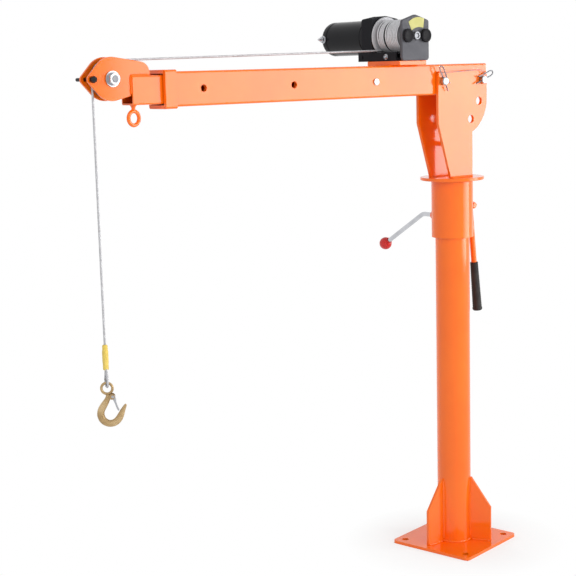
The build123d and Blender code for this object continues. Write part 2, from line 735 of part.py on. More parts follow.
def clutch_knob():
    """A bar knob with a round lobe at each end."""
    back = GEAR_OUT_Y + DIAL_T + KNOB_STANDOFF
    front = back + KNOB_T
    bar = block(
        WINCH_X - KNOB_LOBE_OFFSET,
        WINCH_X + KNOB_LOBE_OFFSET,
        back,
        front,
        WINCH_Z - KNOB_BAR_W / 2,
        WINCH_Z + KNOB_BAR_W / 2,
    )
    for side in (-1, 1):
        bar += rod_y(WINCH_X + side * KNOB_LOBE_OFFSET, WINCH_Z, 2 * KNOB_LOBE_R, back, front)
    return bar - rod_y(WINCH_X, WINCH_Z, STEM_D, back, front)


def clutch_hub():
    front = GEAR_OUT_Y + DIAL_T + KNOB_STANDOFF + KNOB_T
    stem = rod_y(WINCH_X, WINCH_Z, STEM_D, GEAR_OUT_Y - STEM_DEPTH, front)
    return stem + rod_y(WINCH_X, WINCH_Z, HUB_D, front, front + HUB_CAP_T)


# Drum and rope

def winch_drum():
    drum = rod_y(WINCH_X, WINCH_Z, DRUM_BARREL_D, DRUM_FAR_Y, DRUM_NEAR_Y)
    drum += rod_y(WINCH_X, WINCH_Z, DRUM_FLANGE_D, DRUM_FAR_Y, DRUM_FAR_Y + DRUM_FLANGE_T)
    drum += rod_y(WINCH_X, WINCH_Z, DRUM_FLANGE_D, DRUM_NEAR_Y - DRUM_FLANGE_T, DRUM_NEAR_Y)
    reach = DRUM_SIDE_GAP + JOURNAL_LEN - DRUM_SIDE_GAP / 2
    return drum + rod_y(WINCH_X, WINCH_Z, JOURNAL_D, DRUM_FAR_Y - reach, DRUM_NEAR_Y + reach)


def rope_core():
    """The layers of rope under the outer one, as one plain sleeve."""
    y0 = DRUM_FAR_Y + DRUM_FLANGE_T
    y1 = DRUM_NEAR_Y - DRUM_FLANGE_T
    core = rod_y(WINCH_X, WINCH_Z, 2 * (WOUND_R - ROPE_D / 2 - ROPE_GAP), y0, y1)
    return core - rod_y(WINCH_X, WINCH_Z, DRUM_BARREL_D, y0, y1)


def winding_point(turns):
    """Centre of the wound rope after some turns in from the drum's underside."""
    angle = -math.pi / 2 - 2 * math.pi * turns
    return Vector(
        WINCH_X + WOUND_R * math.cos(angle),
        ROPE_EXIT_Y + ROPE_TURN_PITCH * turns,
        WINCH_Z + WOUND_R * math.sin(angle),
    )


def winding_heading(turns):
    angle = -math.pi / 2 - 2 * math.pi * turns
    around = 2 * math.pi * WOUND_R
    return Vector(around * math.sin(angle), ROPE_TURN_PITCH, -around * math.cos(angle)).normalized()


def biarc(start, start_heading, end, end_heading):
    """Two arcs that leave one point and reach another with given headings."""
    chord = end - start
    total = start_heading + end_heading
    a = 2 * (1 - start_heading.dot(end_heading))
    b = 2 * chord.dot(total)
    c = -chord.dot(chord)
    reach = (-b + math.sqrt(b * b - 4 * a * c)) / (2 * a)
    join = (start + start_heading * reach + end - end_heading * reach) * 0.5
    first = TangentArc(start, join, tangent=start_heading)
    second = TangentArc(join, end, tangent=first % 1)
    return [first, second]


def winding_path():
    heading = winding_heading(0)
    edges = [Line(winding_point(0) - heading * ROPE_D, winding_point(0))]
    quarters = 4 * WOUND_TURNS
    for quarter in range(quarters):
        t0 = quarter / 4
        t1 = (quarter + 1) / 4
        edges += biarc(winding_point(t0), winding_heading(t0), winding_point(t1), winding_heading(t1))
    last = winding_point(WOUND_TURNS)
    edges.append(Line(last, last + winding_heading(WOUND_TURNS) * ROPE_D))
    return Wire(edges)


def winding_self_gap():
    """Least distance between neighbouring turns, surface to surface."""
    half_turn = GAP_SAMPLES // 2
    points = [winding_point(i / GAP_SAMPLES) for i in range(WOUND_TURNS * GAP_SAMPLES + 1)]
    least = min((points[i] - points[j]).length
                for i in range(len(points))
                for j in range(i + half_turn, min(i + 3 * half_turn, len(points))))
    return least - ROPE_D


def rope_winding():
    path = winding_path()
    section = Plane(origin=path @ 0, z_dir=path % 0) * Circle(ROPE_D / 2)
    return sweep(section, path=path)


def rope_run_ends():
    """Where the straight rope leaves the drum's underside and meets the top of the sheave."""
    dx = AXLE_X - WINCH_X
    dz = AXLE_Z - WINCH_Z
    span = math.hypot(dx, dz)
    slope = math.asin((WOUND_R + SHEAVE_PITCH_R) / span) + math.atan2(dz, dx)
    normal = Vector(-math.sin(slope), 0, math.cos(slope))
    leave = Vector(WINCH_X, ROPE_EXIT_Y, WINCH_Z) - normal * WOUND_R
    meet = Vector(AXLE_X, 0, AXLE_Z) + normal * SHEAVE_PITCH_R
    return leave, meet


def rope_piece(path):
    section = Plane(origin=path @ 0, z_dir=path % 0) * Circle(ROPE_D / 2)
    return sweep(section, path=path)


def rope_top_run():
    leave, meet = rope_run_ends()
    along = (meet - leave).normalized()
    start = leave + along * (ROPE_D + 2 * ROPE_GAP)
    return rope_piece(Wire([Line(start, meet - along * ROPE_GAP)]))


def rope_over_sheave():
    meet = rope_run_ends()[1]
    drop = Vector(ROPE_X, 0, AXLE_Z)
    centre = Vector(AXLE_X, 0, AXLE_Z)
    middle = centre + ((meet - centre) + (drop - centre)).normalized() * SHEAVE_PITCH_R
    return rope_piece(Wire([ThreePointArc(meet, middle, drop)]))


def rope_drop():
    return rod_z(ROPE_X, 0, ROPE_D, SLEEVE_TOP_Z, AXLE_Z)


# Extension and sheave head

def slide_pads():
    """Sets of four flat pads inside the boom's walls, on which the inner tube slides."""
    thick = EXTENSION_GAP - SLIDE_FIT
    inside_y = BOOM_W / 2 - BOOM_WALL
    inside_z = BOOM_H / 2 - BOOM_WALL
    wide = inside_y - SLIDE_PAD_EDGE
    tall = inside_z - SLIDE_PAD_EDGE
    pads = []
    for index in range(SLIDE_PAD_SETS):
        front = BOOM_FRONT_X - SLIDE_PAD_MOUTH_GAP - index * SLIDE_PAD_PITCH
        rear = front - SLIDE_PAD_LEN
        side_pad = block(rear, front, inside_y - thick, inside_y, BOOM_Z - tall, BOOM_Z + tall)
        top_pad = block(rear, front, -wide, wide, BOOM_Z + inside_z - thick, BOOM_Z + inside_z)
        pads += [side_pad, mirror(side_pad, Plane.XZ), top_pad, mirror(top_pad, Plane.XY.offset(BOOM_Z))]
    return pads


def extension_tube():
    tube = box_tube(
        EXTENSION_W,
        EXTENSION_H,
        EXTENSION_WALL,
        EXTENSION_CORNER_R,
        EXTENSION_END_X - EXTENSION_LEN,
        EXTENSION_END_X,
    )
    for index in range(EXTENSION_HOLE_COUNT):
        x = LOCK_HOLE_FRONT_X - index * LOCK_HOLE_PITCH
        tube -= rod_y(x, BOOM_Z, LOCK_HOLE_D, -BOOM_W, BOOM_W)
    return tube - rod_z(EYE_X, 0, EYE_WIRE_D, EXTENSION_BOTTOM, EXTENSION_BOTTOM + EXTENSION_WALL)


def sheave_plates():
    """Two plates with a round middle, a nose ahead for the keeper bolt and a tail over the tube."""
    disc = Pos(AXLE_X, AXLE_Z) * Circle(CHEEK_PLATE_R)
    nose_x = AXLE_X + TIP_REACH
    nose = make_hull((disc + Pos(nose_x, AXLE_Z) * Circle(TIP_R)).edges())
    heel_at = Pos(EXTENSION_END_X + HEEL_R, AXLE_Z - HEEL_DROP + HEEL_R)
    heel = make_hull((disc + heel_at * Circle(HEEL_R)).edges())
    tail_points = [
        (AXLE_X - TAIL_REACH, EXTENSION_TOP),
        (AXLE_X, EXTENSION_TOP),
        (AXLE_X, AXLE_Z + CHEEK_PLATE_R),
        (AXLE_X - TAIL_REACH, EXTENSION_TOP + TAIL_H),
    ]
    tail = make_face(Polyline(*tail_points, close=True))
    rear_top = tail.vertices().sort_by(Axis.X)[:2].sort_by(Axis.Y)[-1]
    above_heel = Polyline(
        (EXTENSION_END_X, AXLE_Z - HEEL_DROP + HEEL_R),
        (AXLE_X, AXLE_Z),
        (AXLE_X, EXTENSION_TOP),
        (EXTENSION_END_X, EXTENSION_TOP),
        close=True,
    )
    shape = nose + heel + make_face(above_heel) + fillet(rear_top, TAIL_CORNER_R)
    behind = EXTENSION_END_X - AXLE_X
    tube_side = Pos(AXLE_X + behind - CHEEK_PLATE_R, (EXTENSION_TOP + EXTENSION_BOTTOM) / 2)
    shape -= tube_side * Rectangle(2 * CHEEK_PLATE_R, EXTENSION_H)
    shape -= Pos(AXLE_X, AXLE_Z) * Circle(AXLE_D / 2)
    shape -= Pos(nose_x, AXLE_Z) * Circle(KEEPER_D / 2)
    return [
        side_plate(shape, SHEAVE_PLATE_IN, SHEAVE_PLATE_OUT),
        side_plate(shape, -SHEAVE_PLATE_OUT, -SHEAVE_PLATE_IN),
    ]


def sheave():
    """A grooved wheel with a thinned web and a hub."""
    half = SHEAVE_W / 2
    wheel = rod_y(AXLE_X, AXLE_Z, 2 * SHEAVE_R, -half, half)
    groove_r = ROPE_D / 2 + GROOVE_GAP
    groove = Pos(AXLE_X, 0, AXLE_Z) * Rot(90, 0, 0) * Torus(SHEAVE_PITCH_R, groove_r)
    lip = groove_r + (SHEAVE_R - SHEAVE_PITCH_R) * math.tan(math.radians(GROOVE_FLARE))
    flare = [(SHEAVE_PITCH_R, -groove_r), (SHEAVE_R, -lip), (SHEAVE_R, lip), (SHEAVE_PITCH_R, groove_r)]
    section = Plane.XZ * make_face(Polyline(*flare, close=True))
    mouth = Pos(AXLE_X, 0, AXLE_Z) * Rot(90, 0, 0) * revolve(section, Axis.Z)
    wheel = wheel - groove - mouth
    recess_d = 2 * (SHEAVE_R - SHEAVE_RIM)
    for y0, y1 in ((-half, -SHEAVE_WEB_T / 2), (SHEAVE_WEB_T / 2, half)):
        recess = rod_y(AXLE_X, AXLE_Z, recess_d, y0, y1)
        wheel -= recess - rod_y(AXLE_X, AXLE_Z, SHEAVE_HUB_D, y0, y1)
    return wheel - rod_y(AXLE_X, AXLE_Z, SHEAVE_BUSH_D, -half, half)


def sheave_bush():
    bush = rod_y(AXLE_X, AXLE_Z, SHEAVE_BUSH_D, -SHEAVE_W / 2, SHEAVE_W / 2)
    return bush - rod_y(AXLE_X, AXLE_Z, AXLE_D + 2 * RUNNING_FIT, -SHEAVE_W, SHEAVE_W)


def axle_washers():
    ring = []
    for y in (SHEAVE_PLATE_OUT, -SHEAVE_PLATE_OUT - AXLE_WASHER_T):
        washer = rod_y(AXLE_X, AXLE_Z, AXLE_WASHER_D, y, y + AXLE_WASHER_T)
        ring.append(washer - rod_y(AXLE_X, AXLE_Z, AXLE_D, y, y + AXLE_WASHER_T))
    return ring


def axle_bolt():
    outer = SHEAVE_PLATE_OUT + AXLE_WASHER_T
    bolt = rod_y(AXLE_X, AXLE_Z, AXLE_D, -outer - AXLE_HEAD_T - AXLE_TAIL, outer)
    return bolt + hex_y(AXLE_X, AXLE_Z, AXLE_HEAD_AF, outer, outer + AXLE_HEAD_T)


def axle_nut():
    outer = SHEAVE_PLATE_OUT + AXLE_WASHER_T
    nut = hex_y(AXLE_X, AXLE_Z, AXLE_HEAD_AF, -outer - AXLE_HEAD_T, -outer)
    return nut - rod_y(AXLE_X, AXLE_Z, AXLE_D, -outer - AXLE_HEAD_T, -outer)


def keeper_bolt():
    x = AXLE_X + TIP_REACH
    bolt = rod_y(x, AXLE_Z, KEEPER_D, -SHEAVE_PLATE_OUT - KEEPER_HEAD_T - KEEPER_TAIL, SHEAVE_PLATE_OUT)
    return bolt + hex_y(x, AXLE_Z, KEEPER_HEAD_AF, SHEAVE_PLATE_OUT, SHEAVE_PLATE_OUT + KEEPER_HEAD_T)


def keeper_nut():
    x = AXLE_X + TIP_REACH
    nut = hex_y(x, AXLE_Z, KEEPER_HEAD_AF, -SHEAVE_PLATE_OUT - KEEPER_HEAD_T, -SHEAVE_PLATE_OUT)
    return nut - rod_y(x, AXLE_Z, KEEPER_D, -SHEAVE_PLATE_OUT - KEEPER_HEAD_T, -SHEAVE_PLATE_OUT)


def eye_bolt():
    ring_r = (EYE_OD - EYE_WIRE_D) / 2
    ring_z = EXTENSION_BOTTOM - EYE_SHANK - EYE_OD / 2
    ring = Rot(90, 0, 0) * Torus(ring_r, EYE_WIRE_D / 2)
    top = EXTENSION_BOTTOM + EXTENSION_WALL - ring_z
    eye = ring + rod_z(0, 0, EYE_WIRE_D, ring_r, top)
    return Pos(EYE_X, 0, ring_z) * Rot(0, 0, EYE_TURN) * eye


# Hook and its rope end

def rope_sleeve():
    sleeve = rod_z(ROPE_X, 0, ROPE_SLEEVE_D, SLEEVE_BOTTOM_Z, SLEEVE_TOP_Z)
    return fillet(sleeve.edges().filter_by(GeomType.CIRCLE), ROPE_SLEEVE_ROUND)


def loop_centre_rise():
    """Height of the rope loop's round end above the centre of the hook's eye."""
    hole_r = HOOK_EYE_R - HOOK_WIRE_D / 2
    twist = math.radians(LOOP_TWIST)
    half_w = THIMBLE_W / 2 / math.cos(twist) + HOOK_WIRE_D / 2 * math.tan(twist)
    bearing = math.sqrt(hole_r**2 - half_w**2)
    return bearing - HANG_GAP + THIMBLE_R


def loop_plane():
    """The rope loop goes through the hook's eye, a little twisted from square."""
    across = HOOK_PLANE.z_dir.rotate(Axis.Z, LOOP_TWIST)
    return Plane(origin=HOOK_PLANE.origin, x_dir=across, z_dir=across.cross(Vector(0, 0, 1)))


def rope_eye():
    radius = THIMBLE_R + THIMBLE_T + ROPE_D / 2 + RUNNING_FIT
    centre = loop_centre_rise()
    leg_x = ROPE_D / 2 + ROPE_GAP
    leg_z = SLEEVE_BOTTOM_Z + ROPE_D / 2 - HOOK_EYE_Z
    reach = math.hypot(leg_x, leg_z - centre)
    turn = math.atan2(leg_z - centre, leg_x) - math.acos(radius / reach)
    right = Vector(radius * math.cos(turn), centre + radius * math.sin(turn))
    left = Vector(-right.X, right.Y)
    bottom = Vector(0, centre - radius)
    flat = [
        Line((leg_x, leg_z), right),
        ThreePointArc(right, bottom, left),
        Line(left, (-leg_x, leg_z)),
    ]
    path = Wire([loop_plane() * edge for edge in flat])
    return rope_piece(path) - rope_sleeve()


def thimble():
    ring = Pos(0, loop_centre_rise()) * (Circle(THIMBLE_R + THIMBLE_T) - Circle(THIMBLE_R))
    return extrude(loop_plane() * ring, THIMBLE_W / 2, both=True)


def limb(start, start_r, end, end_r):
    """The outline round two circles, for a limb that tapers from one to the other."""
    ends = Pos(*start) * Circle(start_r) + Pos(*end) * Circle(end_r)
    return make_hull(ends.edges())


def hook_mouth():
    """The open side of the bowl, between the lines that leave the throat towards the horn and the neck."""
    reach = 2 * HOOK_BOWL_R
    throat = Vector(*HOOK_THROAT_AT)

    def line(place, heading):
        start = throat + Vector(HOOK_THROAT_R, 0).rotate(Axis.Z, place)
        return start, start + Vector(reach, 0).rotate(Axis.Z, heading)

    horn_start, horn_end = line(*HOOK_MOUTH_FROM)
    neck_start, neck_end = line(*HOOK_MOUTH_TO)
    return make_face(Polyline(throat, horn_start, horn_end, neck_end, neck_start, close=True))


def lifting_hook():
    """An eye hook: a round eye, a cranked neck with a latch slot, and an open bowl with a horn."""
    pivot_at = (LATCH_PIVOT_U, -LATCH_PIVOT_DROP)
    body = Pos(*HOOK_BOWL_AT) * Circle(HOOK_BOWL_R) - hook_mouth()
    body += limb(HOOK_HORN_ROOT, HOOK_HORN_ROOT_R, HOOK_HORN_TIP, HOOK_HORN_TIP_R)
    body += limb(HOOK_BACK_LOW, HOOK_BACK_LOW_R, HOOK_BACK_HIGH, HOOK_BACK_HIGH_R)
    body += limb(HOOK_BACK_HIGH, HOOK_NECK_LOW_R, HOOK_NECK_LOW, HOOK_NECK_LOW_R)
    body += limb(HOOK_NECK_LOW, HOOK_NECK_LOW_R, HOOK_NECK_HIGH, HOOK_NECK_HIGH_R)
    body += limb(pivot_at, LATCH_LUG_R, HOOK_NECK_HIGH, HOOK_NECK_HIGH_R)
    body -= Pos(*HOOK_THROAT_AT) * Circle(HOOK_THROAT_R)
    pivot = Pos(*pivot_at)
    slot = pivot * Circle(LATCH_EYE_D / 2 + LATCH_SIDE_GAP)
    for turn in (-LATCH_TURN, -LATCH_TURN - LATCH_SWING / 2, -LATCH_TURN - LATCH_SWING):
        lane = Pos(LATCH_LEN / 2, 0) * Rectangle(LATCH_LEN, LATCH_EYE_D + 2 * LATCH_SIDE_GAP)
        slot += pivot * Rot(0, 0, turn) * lane
    slot_w = LATCH_W + 2 * LATCH_SIDE_GAP
    flat = extrude(HOOK_PLANE * body, HOOK_T / 2, both=True)
    flat -= extrude(HOOK_PLANE * slot, slot_w / 2, both=True)
    flat += HOOK_PLANE * Torus(HOOK_EYE_R, HOOK_WIRE_D / 2)
    return flat - HOOK_PLANE * pivot * Cylinder(LATCH_PIN_D / 2, 2 * HOOK_T)


def latch_pin():
    return HOOK_PLANE * Pos(LATCH_PIVOT_U, -LATCH_PIVOT_DROP) * Cylinder(LATCH_PIN_D / 2, HOOK_T)


def hook_latch():
    """A sprung gate from its pin to the inside of the hook's tip."""
    gate = Circle(LATCH_EYE_D / 2)
    gate += Pos(LATCH_LEN / 2, 0) * Rectangle(LATCH_LEN, LATCH_T)
    gate -= Circle(LATCH_PIN_D / 2 + RUNNING_FIT)
    placed = Pos(LATCH_PIVOT_U, -LATCH_PIVOT_DROP) * Rot(0, 0, -LATCH_TURN) * gate
    return extrude(HOOK_PLANE * placed, LATCH_W / 2, both=True)


def crane():
    """Every piece of the crane under its node's name."""
    clips = [hitch_clip(*place) for place in zip((PIVOT_X, LOCK_PIN_X), CLIP_TURNS, CLIP_SIDES)]
    return {
        "base_plate": base_plate(),
        "gussets": gussets(),
        "post_tube": post_tube(),
        "post_cap": rod_z(0, 0, POST_OD, POST_TOP, POST_CAP_TOP),
        "thrust_washer": rod_z(0, 0, THRUST_WASHER_D, POST_CAP_TOP, FLANGE_BOTTOM),
        "swivel_collar": swivel_collar(),
        "swivel_bushes": swivel_bushes(),
        "head_flange": rod_z(0, 0, FLANGE_OD, FLANGE_BOTTOM, FLANGE_TOP),
        "near_cheek": cheek(CHEEK_INNER_Y, CHEEK_OUTER_Y),
        "far_cheek": cheek(-CHEEK_OUTER_Y, -CHEEK_INNER_Y),
        "cheek_tie": rod_y(TIE_X, FLANGE_TOP + TIE_RISE, TIE_D, -CHEEK_INNER_Y, CHEEK_INNER_Y),
        "pivot_pin": head_pin(PIVOT_X, CLIP_TURNS[0]),
        "lock_pin": head_pin(LOCK_PIN_X, CLIP_TURNS[1]),
        "hitch_clips": clips,
        "handle_bracket": handle_bracket(),
        "handle_bolt": handle_bolt(),
        "handle_bar": handle_bar(),
        "handle_grip": handle_grip(),
        "lock_boss": lock_boss(),
        "lever_rod": lever_rod(),
        "lever_ball": lever_ball(),
        "lock_pad": lock_pad(),
        "boom_tube": boom_tube(),
        "boom_band": boom_band(),
        "slide_pads": slide_pads(),
        "pivot_sleeve": pivot_sleeve(),
        "winch_plate": winch_plate(),
        "winch_base": winch_base(),
        "winch_bolts": winch_bolts(),
        "motor_housing": motor_housing(),
        "motor_can": motor_can(),
        "motor_end_cap": motor_end_cap(),
        "motor_terminals": motor_terminals(),
        "gear_housing": gear_housing(),
        "drum_bushes": drum_bushes(),
        "clutch_dial": clutch_dial(),
        "clutch_knob": clutch_knob(),
        "clutch_hub": clutch_hub(),
        "winch_drum": winch_drum(),
        "rope_core": rope_core(),
        "rope_winding": rope_winding(),
        "rope_top_run": rope_top_run(),
        "rope_over_sheave": rope_over_sheave(),
        "rope_drop": rope_drop(),
        "extension_tube": extension_tube(),
        "sheave_plates": sheave_plates(),
        "sheave": sheave(),
        "sheave_bush": sheave_bush(),
        "axle_bolt": axle_bolt(),
        "axle_nut": axle_nut(),
        "axle_washers": axle_washers(),
        "keeper_bolt": keeper_bolt(),
        "keeper_nut": keeper_nut(),
        "eye_bolt": eye_bolt(),
        "rope_sleeve": rope_sleeve(),
        "rope_eye": rope_eye(),
        "thimble": thimble(),
        "lifting_hook": lifting_hook(),
        "latch_pin": latch_pin(),
        "hook_latch": hook_latch(),
    }


os.makedirs("parts", exist_ok=True)
for node, shape in crane().items():
    solids = shape if isinstance(shape, list) else [shape]
    bodies = [solid for piece in solids for solid in piece.solids()]
    export_step(Compound(children=bodies) if len(bodies) > 1 else bodies[0], f"parts/{node}.step")
print(f"least gap between the rope's turns: {winding_self_gap():.2f} mm")
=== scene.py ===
import math
import bpy
from mathutils import Matrix, Vector


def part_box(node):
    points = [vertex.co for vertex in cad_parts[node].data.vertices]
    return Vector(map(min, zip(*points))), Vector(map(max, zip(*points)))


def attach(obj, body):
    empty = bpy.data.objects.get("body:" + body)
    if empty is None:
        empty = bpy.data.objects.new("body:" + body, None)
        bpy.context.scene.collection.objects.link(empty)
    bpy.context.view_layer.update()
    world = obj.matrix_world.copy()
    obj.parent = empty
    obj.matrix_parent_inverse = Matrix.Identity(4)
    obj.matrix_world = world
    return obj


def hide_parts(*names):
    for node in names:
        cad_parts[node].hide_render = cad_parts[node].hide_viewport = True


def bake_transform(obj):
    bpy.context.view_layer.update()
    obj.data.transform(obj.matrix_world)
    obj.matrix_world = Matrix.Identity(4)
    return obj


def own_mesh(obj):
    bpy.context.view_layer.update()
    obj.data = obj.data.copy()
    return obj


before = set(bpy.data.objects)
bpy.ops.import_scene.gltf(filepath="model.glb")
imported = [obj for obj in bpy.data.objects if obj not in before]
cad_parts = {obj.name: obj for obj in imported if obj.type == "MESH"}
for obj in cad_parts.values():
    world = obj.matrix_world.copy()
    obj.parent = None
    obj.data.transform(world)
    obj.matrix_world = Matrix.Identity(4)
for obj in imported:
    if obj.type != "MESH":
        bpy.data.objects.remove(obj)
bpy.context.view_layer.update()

X, Y, Z = Vector((1, 0, 0)), Vector((0, 1, 0)), Vector((0, 0, 1))
TINY = 1e-6
NEAR = 1e-4

# Sizes and places of the crane in metres and degrees. A pair is a place in X and Z
POST_R = 0.0445
PLATE_T = 0.008
PLATE_HALF = 0.120
PLATE_TURN = 11
BOLT_REACH = 0.095
BOLT_HOLE_R = 0.009
COLLAR_R = 0.054
FLANGE_TOP = 0.985
PIVOT = (0.072, 1.231)
INDEX_R = 0.142
INDEX_STEP = 22
INDEX_HOLE_R = 0.0105
LOCK_X = PIVOT[0] - INDEX_R
CHEEK_IN = 0.032
CHEEK_OUT = 0.040
CLIP_Y = 0.0465
# Each spring clip's X, its angle and the side of its bowed leg
CLIPS = ((PIVOT[0], 62, 1), (LOCK_X, 160, -1))
HANDLE = Vector((-0.066, 0, 0.905))
HANDLE_LEAN = 5.5
BOOM_Z = 1.235
BOOM_TOP = 1.273
TUBE_WALL = 0.004
LOCK_HOLES = (0.799, 0.544, 0.289)
LOCK_HOLE_R = 0.0081
AXLE = (1.024, 1.2605)
AXLE_HOLE_R = 0.0081
KEEPER_REACH = 0.048
SHEAVE_PITCH_R = 0.0385
SIDE_OUT = 0.0175
WINCH = (0.191, 1.3435)
WINCH_FOOT = 1.284
HOUSING_HALF = 0.0455
GEAR_IN, GEAR_OUT = 0.044, 0.068
MOTOR_IN, MOTOR_OUT = -0.040, -0.078
MOTOR_R = 0.043
MOTOR_END = -0.218
CAP_END = -0.240
ROPE_D = 0.005
ROPE_LAY = 0.034
WOUND_R = 0.033
ROPE_EXIT_Y = -0.0288
HOOK_EYE = (1.0625, 0.0, 0.6005)
HOOK_TURN = 141.4
LOOP_TWIST = 18
LATCH_PIVOT = Vector((0.0125, 0, -0.018))
WORLD_LIGHT = 0.42

# Hand tools


def clear():
    """Leave edit mode and let go of everything that is selected."""
    if bpy.context.mode != "OBJECT":
        bpy.ops.object.mode_set(mode="OBJECT")
    bpy.ops.object.select_all(action="DESELECT")


def hold(piece):
    clear()
    piece.select_set(True)
    bpy.context.view_layer.objects.active = piece


def settle(name):
    """Name the piece just added and put its place, turn and size into its mesh."""
    piece = bpy.context.active_object
    piece.name = name
    piece.data.name = name
    bpy.ops.object.transform_apply(location=True, rotation=True, scale=True)
    return piece


def edit(piece, kind, action="SELECT"):
    """Go into edit mode with everything selected, or nothing."""
    hold(piece)
    bpy.ops.object.mode_set(mode="EDIT")
    bpy.ops.mesh.select_mode(type=kind)
    bpy.ops.mesh.select_all(action=action)


def leave():
    bpy.ops.object.mode_set(mode="OBJECT")


def pick_faces(piece, wanted):
    """Go into edit mode with the faces selected whose normal is wanted."""
    edit(piece, "FACE", "DESELECT")
    leave()
    for face in piece.data.polygons:
        face.select = wanted(face.normal)
    bpy.ops.object.mode_set(mode="EDIT")


def round_edges(piece, wanted, radius, steps):
    """Round the edges whose two ends are wanted."""
    edit(piece, "EDGE", "DESELECT")
    leave()
    points = piece.data.vertices
    for edge in piece.data.edges:
        first, last = (points[index] for index in edge.vertices)
        edge.select = wanted(first.co, last.co)
        if edge.select:
            first.select = last.select = True
    bpy.ops.object.mode_set(mode="EDIT")
    bpy.ops.mesh.bevel(offset=radius, segments=steps, affect="EDGES")
    leave()


def outward(piece):
    """Merge doubled points and turn every face outwards."""
    edit(piece, "VERT")
    bpy.ops.mesh.remove_doubles(threshold=TINY)
    bpy.ops.mesh.normals_make_consistent(inside=False)
    leave()
    return piece


def slab(name, low, high):
    """A box between two corners."""
    low, high = Vector(low), Vector(high)
    clear()
    bpy.ops.mesh.primitive_cube_add(size=1, location=(low + high) / 2, scale=high - low)
    return settle(name)


def bar(name, start, end, radius, sides=48):
    """A straight bar with that many sides."""
    start, end = Vector(start), Vector(end)
    along = end - start
    clear()
    turn = along.to_track_quat("Z", "Y").to_euler()
    middle = (start + end) / 2
    size = {"radius": radius, "depth": along.length}
    bpy.ops.mesh.primitive_cylinder_add(vertices=sides, location=middle, rotation=turn, **size)
    return settle(name)


def torus(name, centre, radius, wire_r, segments, turn=0):
    """A round ring of wire that stands upright."""
    clear()
    size = {"major_radius": radius, "minor_radius": wire_r, "major_segments": segments, "minor_segments": 20}
    upright = (math.pi / 2, 0, math.radians(turn))
    bpy.ops.mesh.primitive_torus_add(location=centre, rotation=upright, **size)
    return settle(name)


def change(piece, kind, **values):
    """Put a modifier on a piece and apply it."""
    hold(piece)
    modifier = piece.modifiers.new("change", kind)
    for key, value in values.items():
        setattr(modifier, key, value)
    bpy.ops.object.modifier_apply(modifier=modifier.name)
    return piece


def soften(piece, width, steps=3, angle=38):
    """Round every sharp edge a little."""
    limit = math.radians(angle)
    return change(piece, "BEVEL", width=width, segments=steps, limit_method="ANGLE", angle_limit=limit)


def work(piece, operation, tools):
    for tool in tools:
        change(piece, "BOOLEAN", operation=operation, solver="EXACT", object=tool)
        bpy.data.objects.remove(tool)
    return piece


def cut(piece, *tools):
    return work(piece, "DIFFERENCE", tools)


def weld(piece, *tools):
    return work(piece, "UNION", tools)


def drill(piece, x, z, radius, sides=48):
    """A round hole along Y, through a plate or a box tube."""
    reach = 0.05
    return cut(piece, bar("drill", (x, -reach, z), (x, reach, z), radius, sides))


def join(piece, *others):
    """Put loose pieces into one object."""
    hold(piece)
    for other in others:
        other.select_set(True)
    bpy.ops.object.join()
    return piece


def copy(piece, name, matrix):
    """A second piece with its own mesh, moved by a matrix."""
    hold(piece)
    bpy.ops.object.duplicate()
    twin = bpy.context.active_object
    twin.name = name
    twin.data.name = name
    twin.data.transform(matrix)
    return outward(twin) if matrix.determinant() < 0 else twin


def mirrored_y(piece, name):
    return copy(piece, name, Matrix.Scale(-1, 4, Y))


def turn_z(degrees):
    return Matrix.Rotation(math.radians(degrees), 4, "Z")


def toward(turn):
    """A direction in X and Z at an angle in degrees from +X."""
    return Vector((math.cos(math.radians(turn)), 0, math.sin(math.radians(turn))))


def at(pair, y=0):
    """A place from its X and Z, and its Y."""
    return Vector((pair[0], y, pair[1]))


def arc(centre, radius, first, last, steps):
    """Points along an arc in X and Z, with its angles in degrees from +X."""
    turns = [math.radians(first + (last - first) * step / steps) for step in range(steps + 1)]
    return [(centre[0] + radius * math.cos(turn), centre[1] + radius * math.sin(turn)) for turn in turns]


def plate(name, outline, y0, y1):
    """A flat plate with its outline drawn in X and Z."""
    clear()
    bpy.ops.mesh.primitive_circle_add(vertices=len(outline), radius=1, fill_type="NGON")
    piece = settle(name)
    for vertex, (x, z) in zip(piece.data.vertices, outline):
        vertex.co = (x, y0, z)
    edit(piece, "FACE")
    bpy.ops.mesh.extrude_region_move(TRANSFORM_OT_translate={"value": (0, y1 - y0, 0)})
    leave()
    return outward(piece)


def round_corner(piece, x, z, radius):
    """Round one corner of a plate, whose edge runs along Y."""
    def at_corner(first, last):
        ends = all(math.hypot(end.x - x, end.z - z) < NEAR for end in (first, last))
        return ends and abs(first.y - last.y) > NEAR

    round_edges(piece, at_corner, radius, 8)


def turned(name, profile, centre, axis, steps=72):
    """A piece turned about an axis from its closed section, given as places along the axis and radii."""
    centre, axis = Vector(centre), Vector(axis).normalized()
    side = axis.orthogonal().normalized()
    clear()
    bpy.ops.mesh.primitive_circle_add(vertices=len(profile), radius=1, fill_type="NOTHING")
    piece = settle(name)
    for vertex, (along, radius) in zip(piece.data.vertices, profile):
        vertex.co = centre + axis * along + side * radius
    edit(piece, "VERT")
    bpy.ops.mesh.spin(steps=steps, angle=2 * math.pi, center=centre, axis=axis)
    leave()
    return outward(piece)


def round_tube(name, start, end, inner, outer, centre, axis, steps):
    """A plain tube between two places along an axis. With no bore it is a rod or a disc."""
    section = [(start, inner), (start, outer), (end, outer), (end, inner)]
    return turned(name, section, centre, axis, steps)


def washer(name, centre, axis, outer, inner, thickness):
    return soften(round_tube(name, 0, thickness, inner, outer, centre, axis, 56), 0.0004, 2)


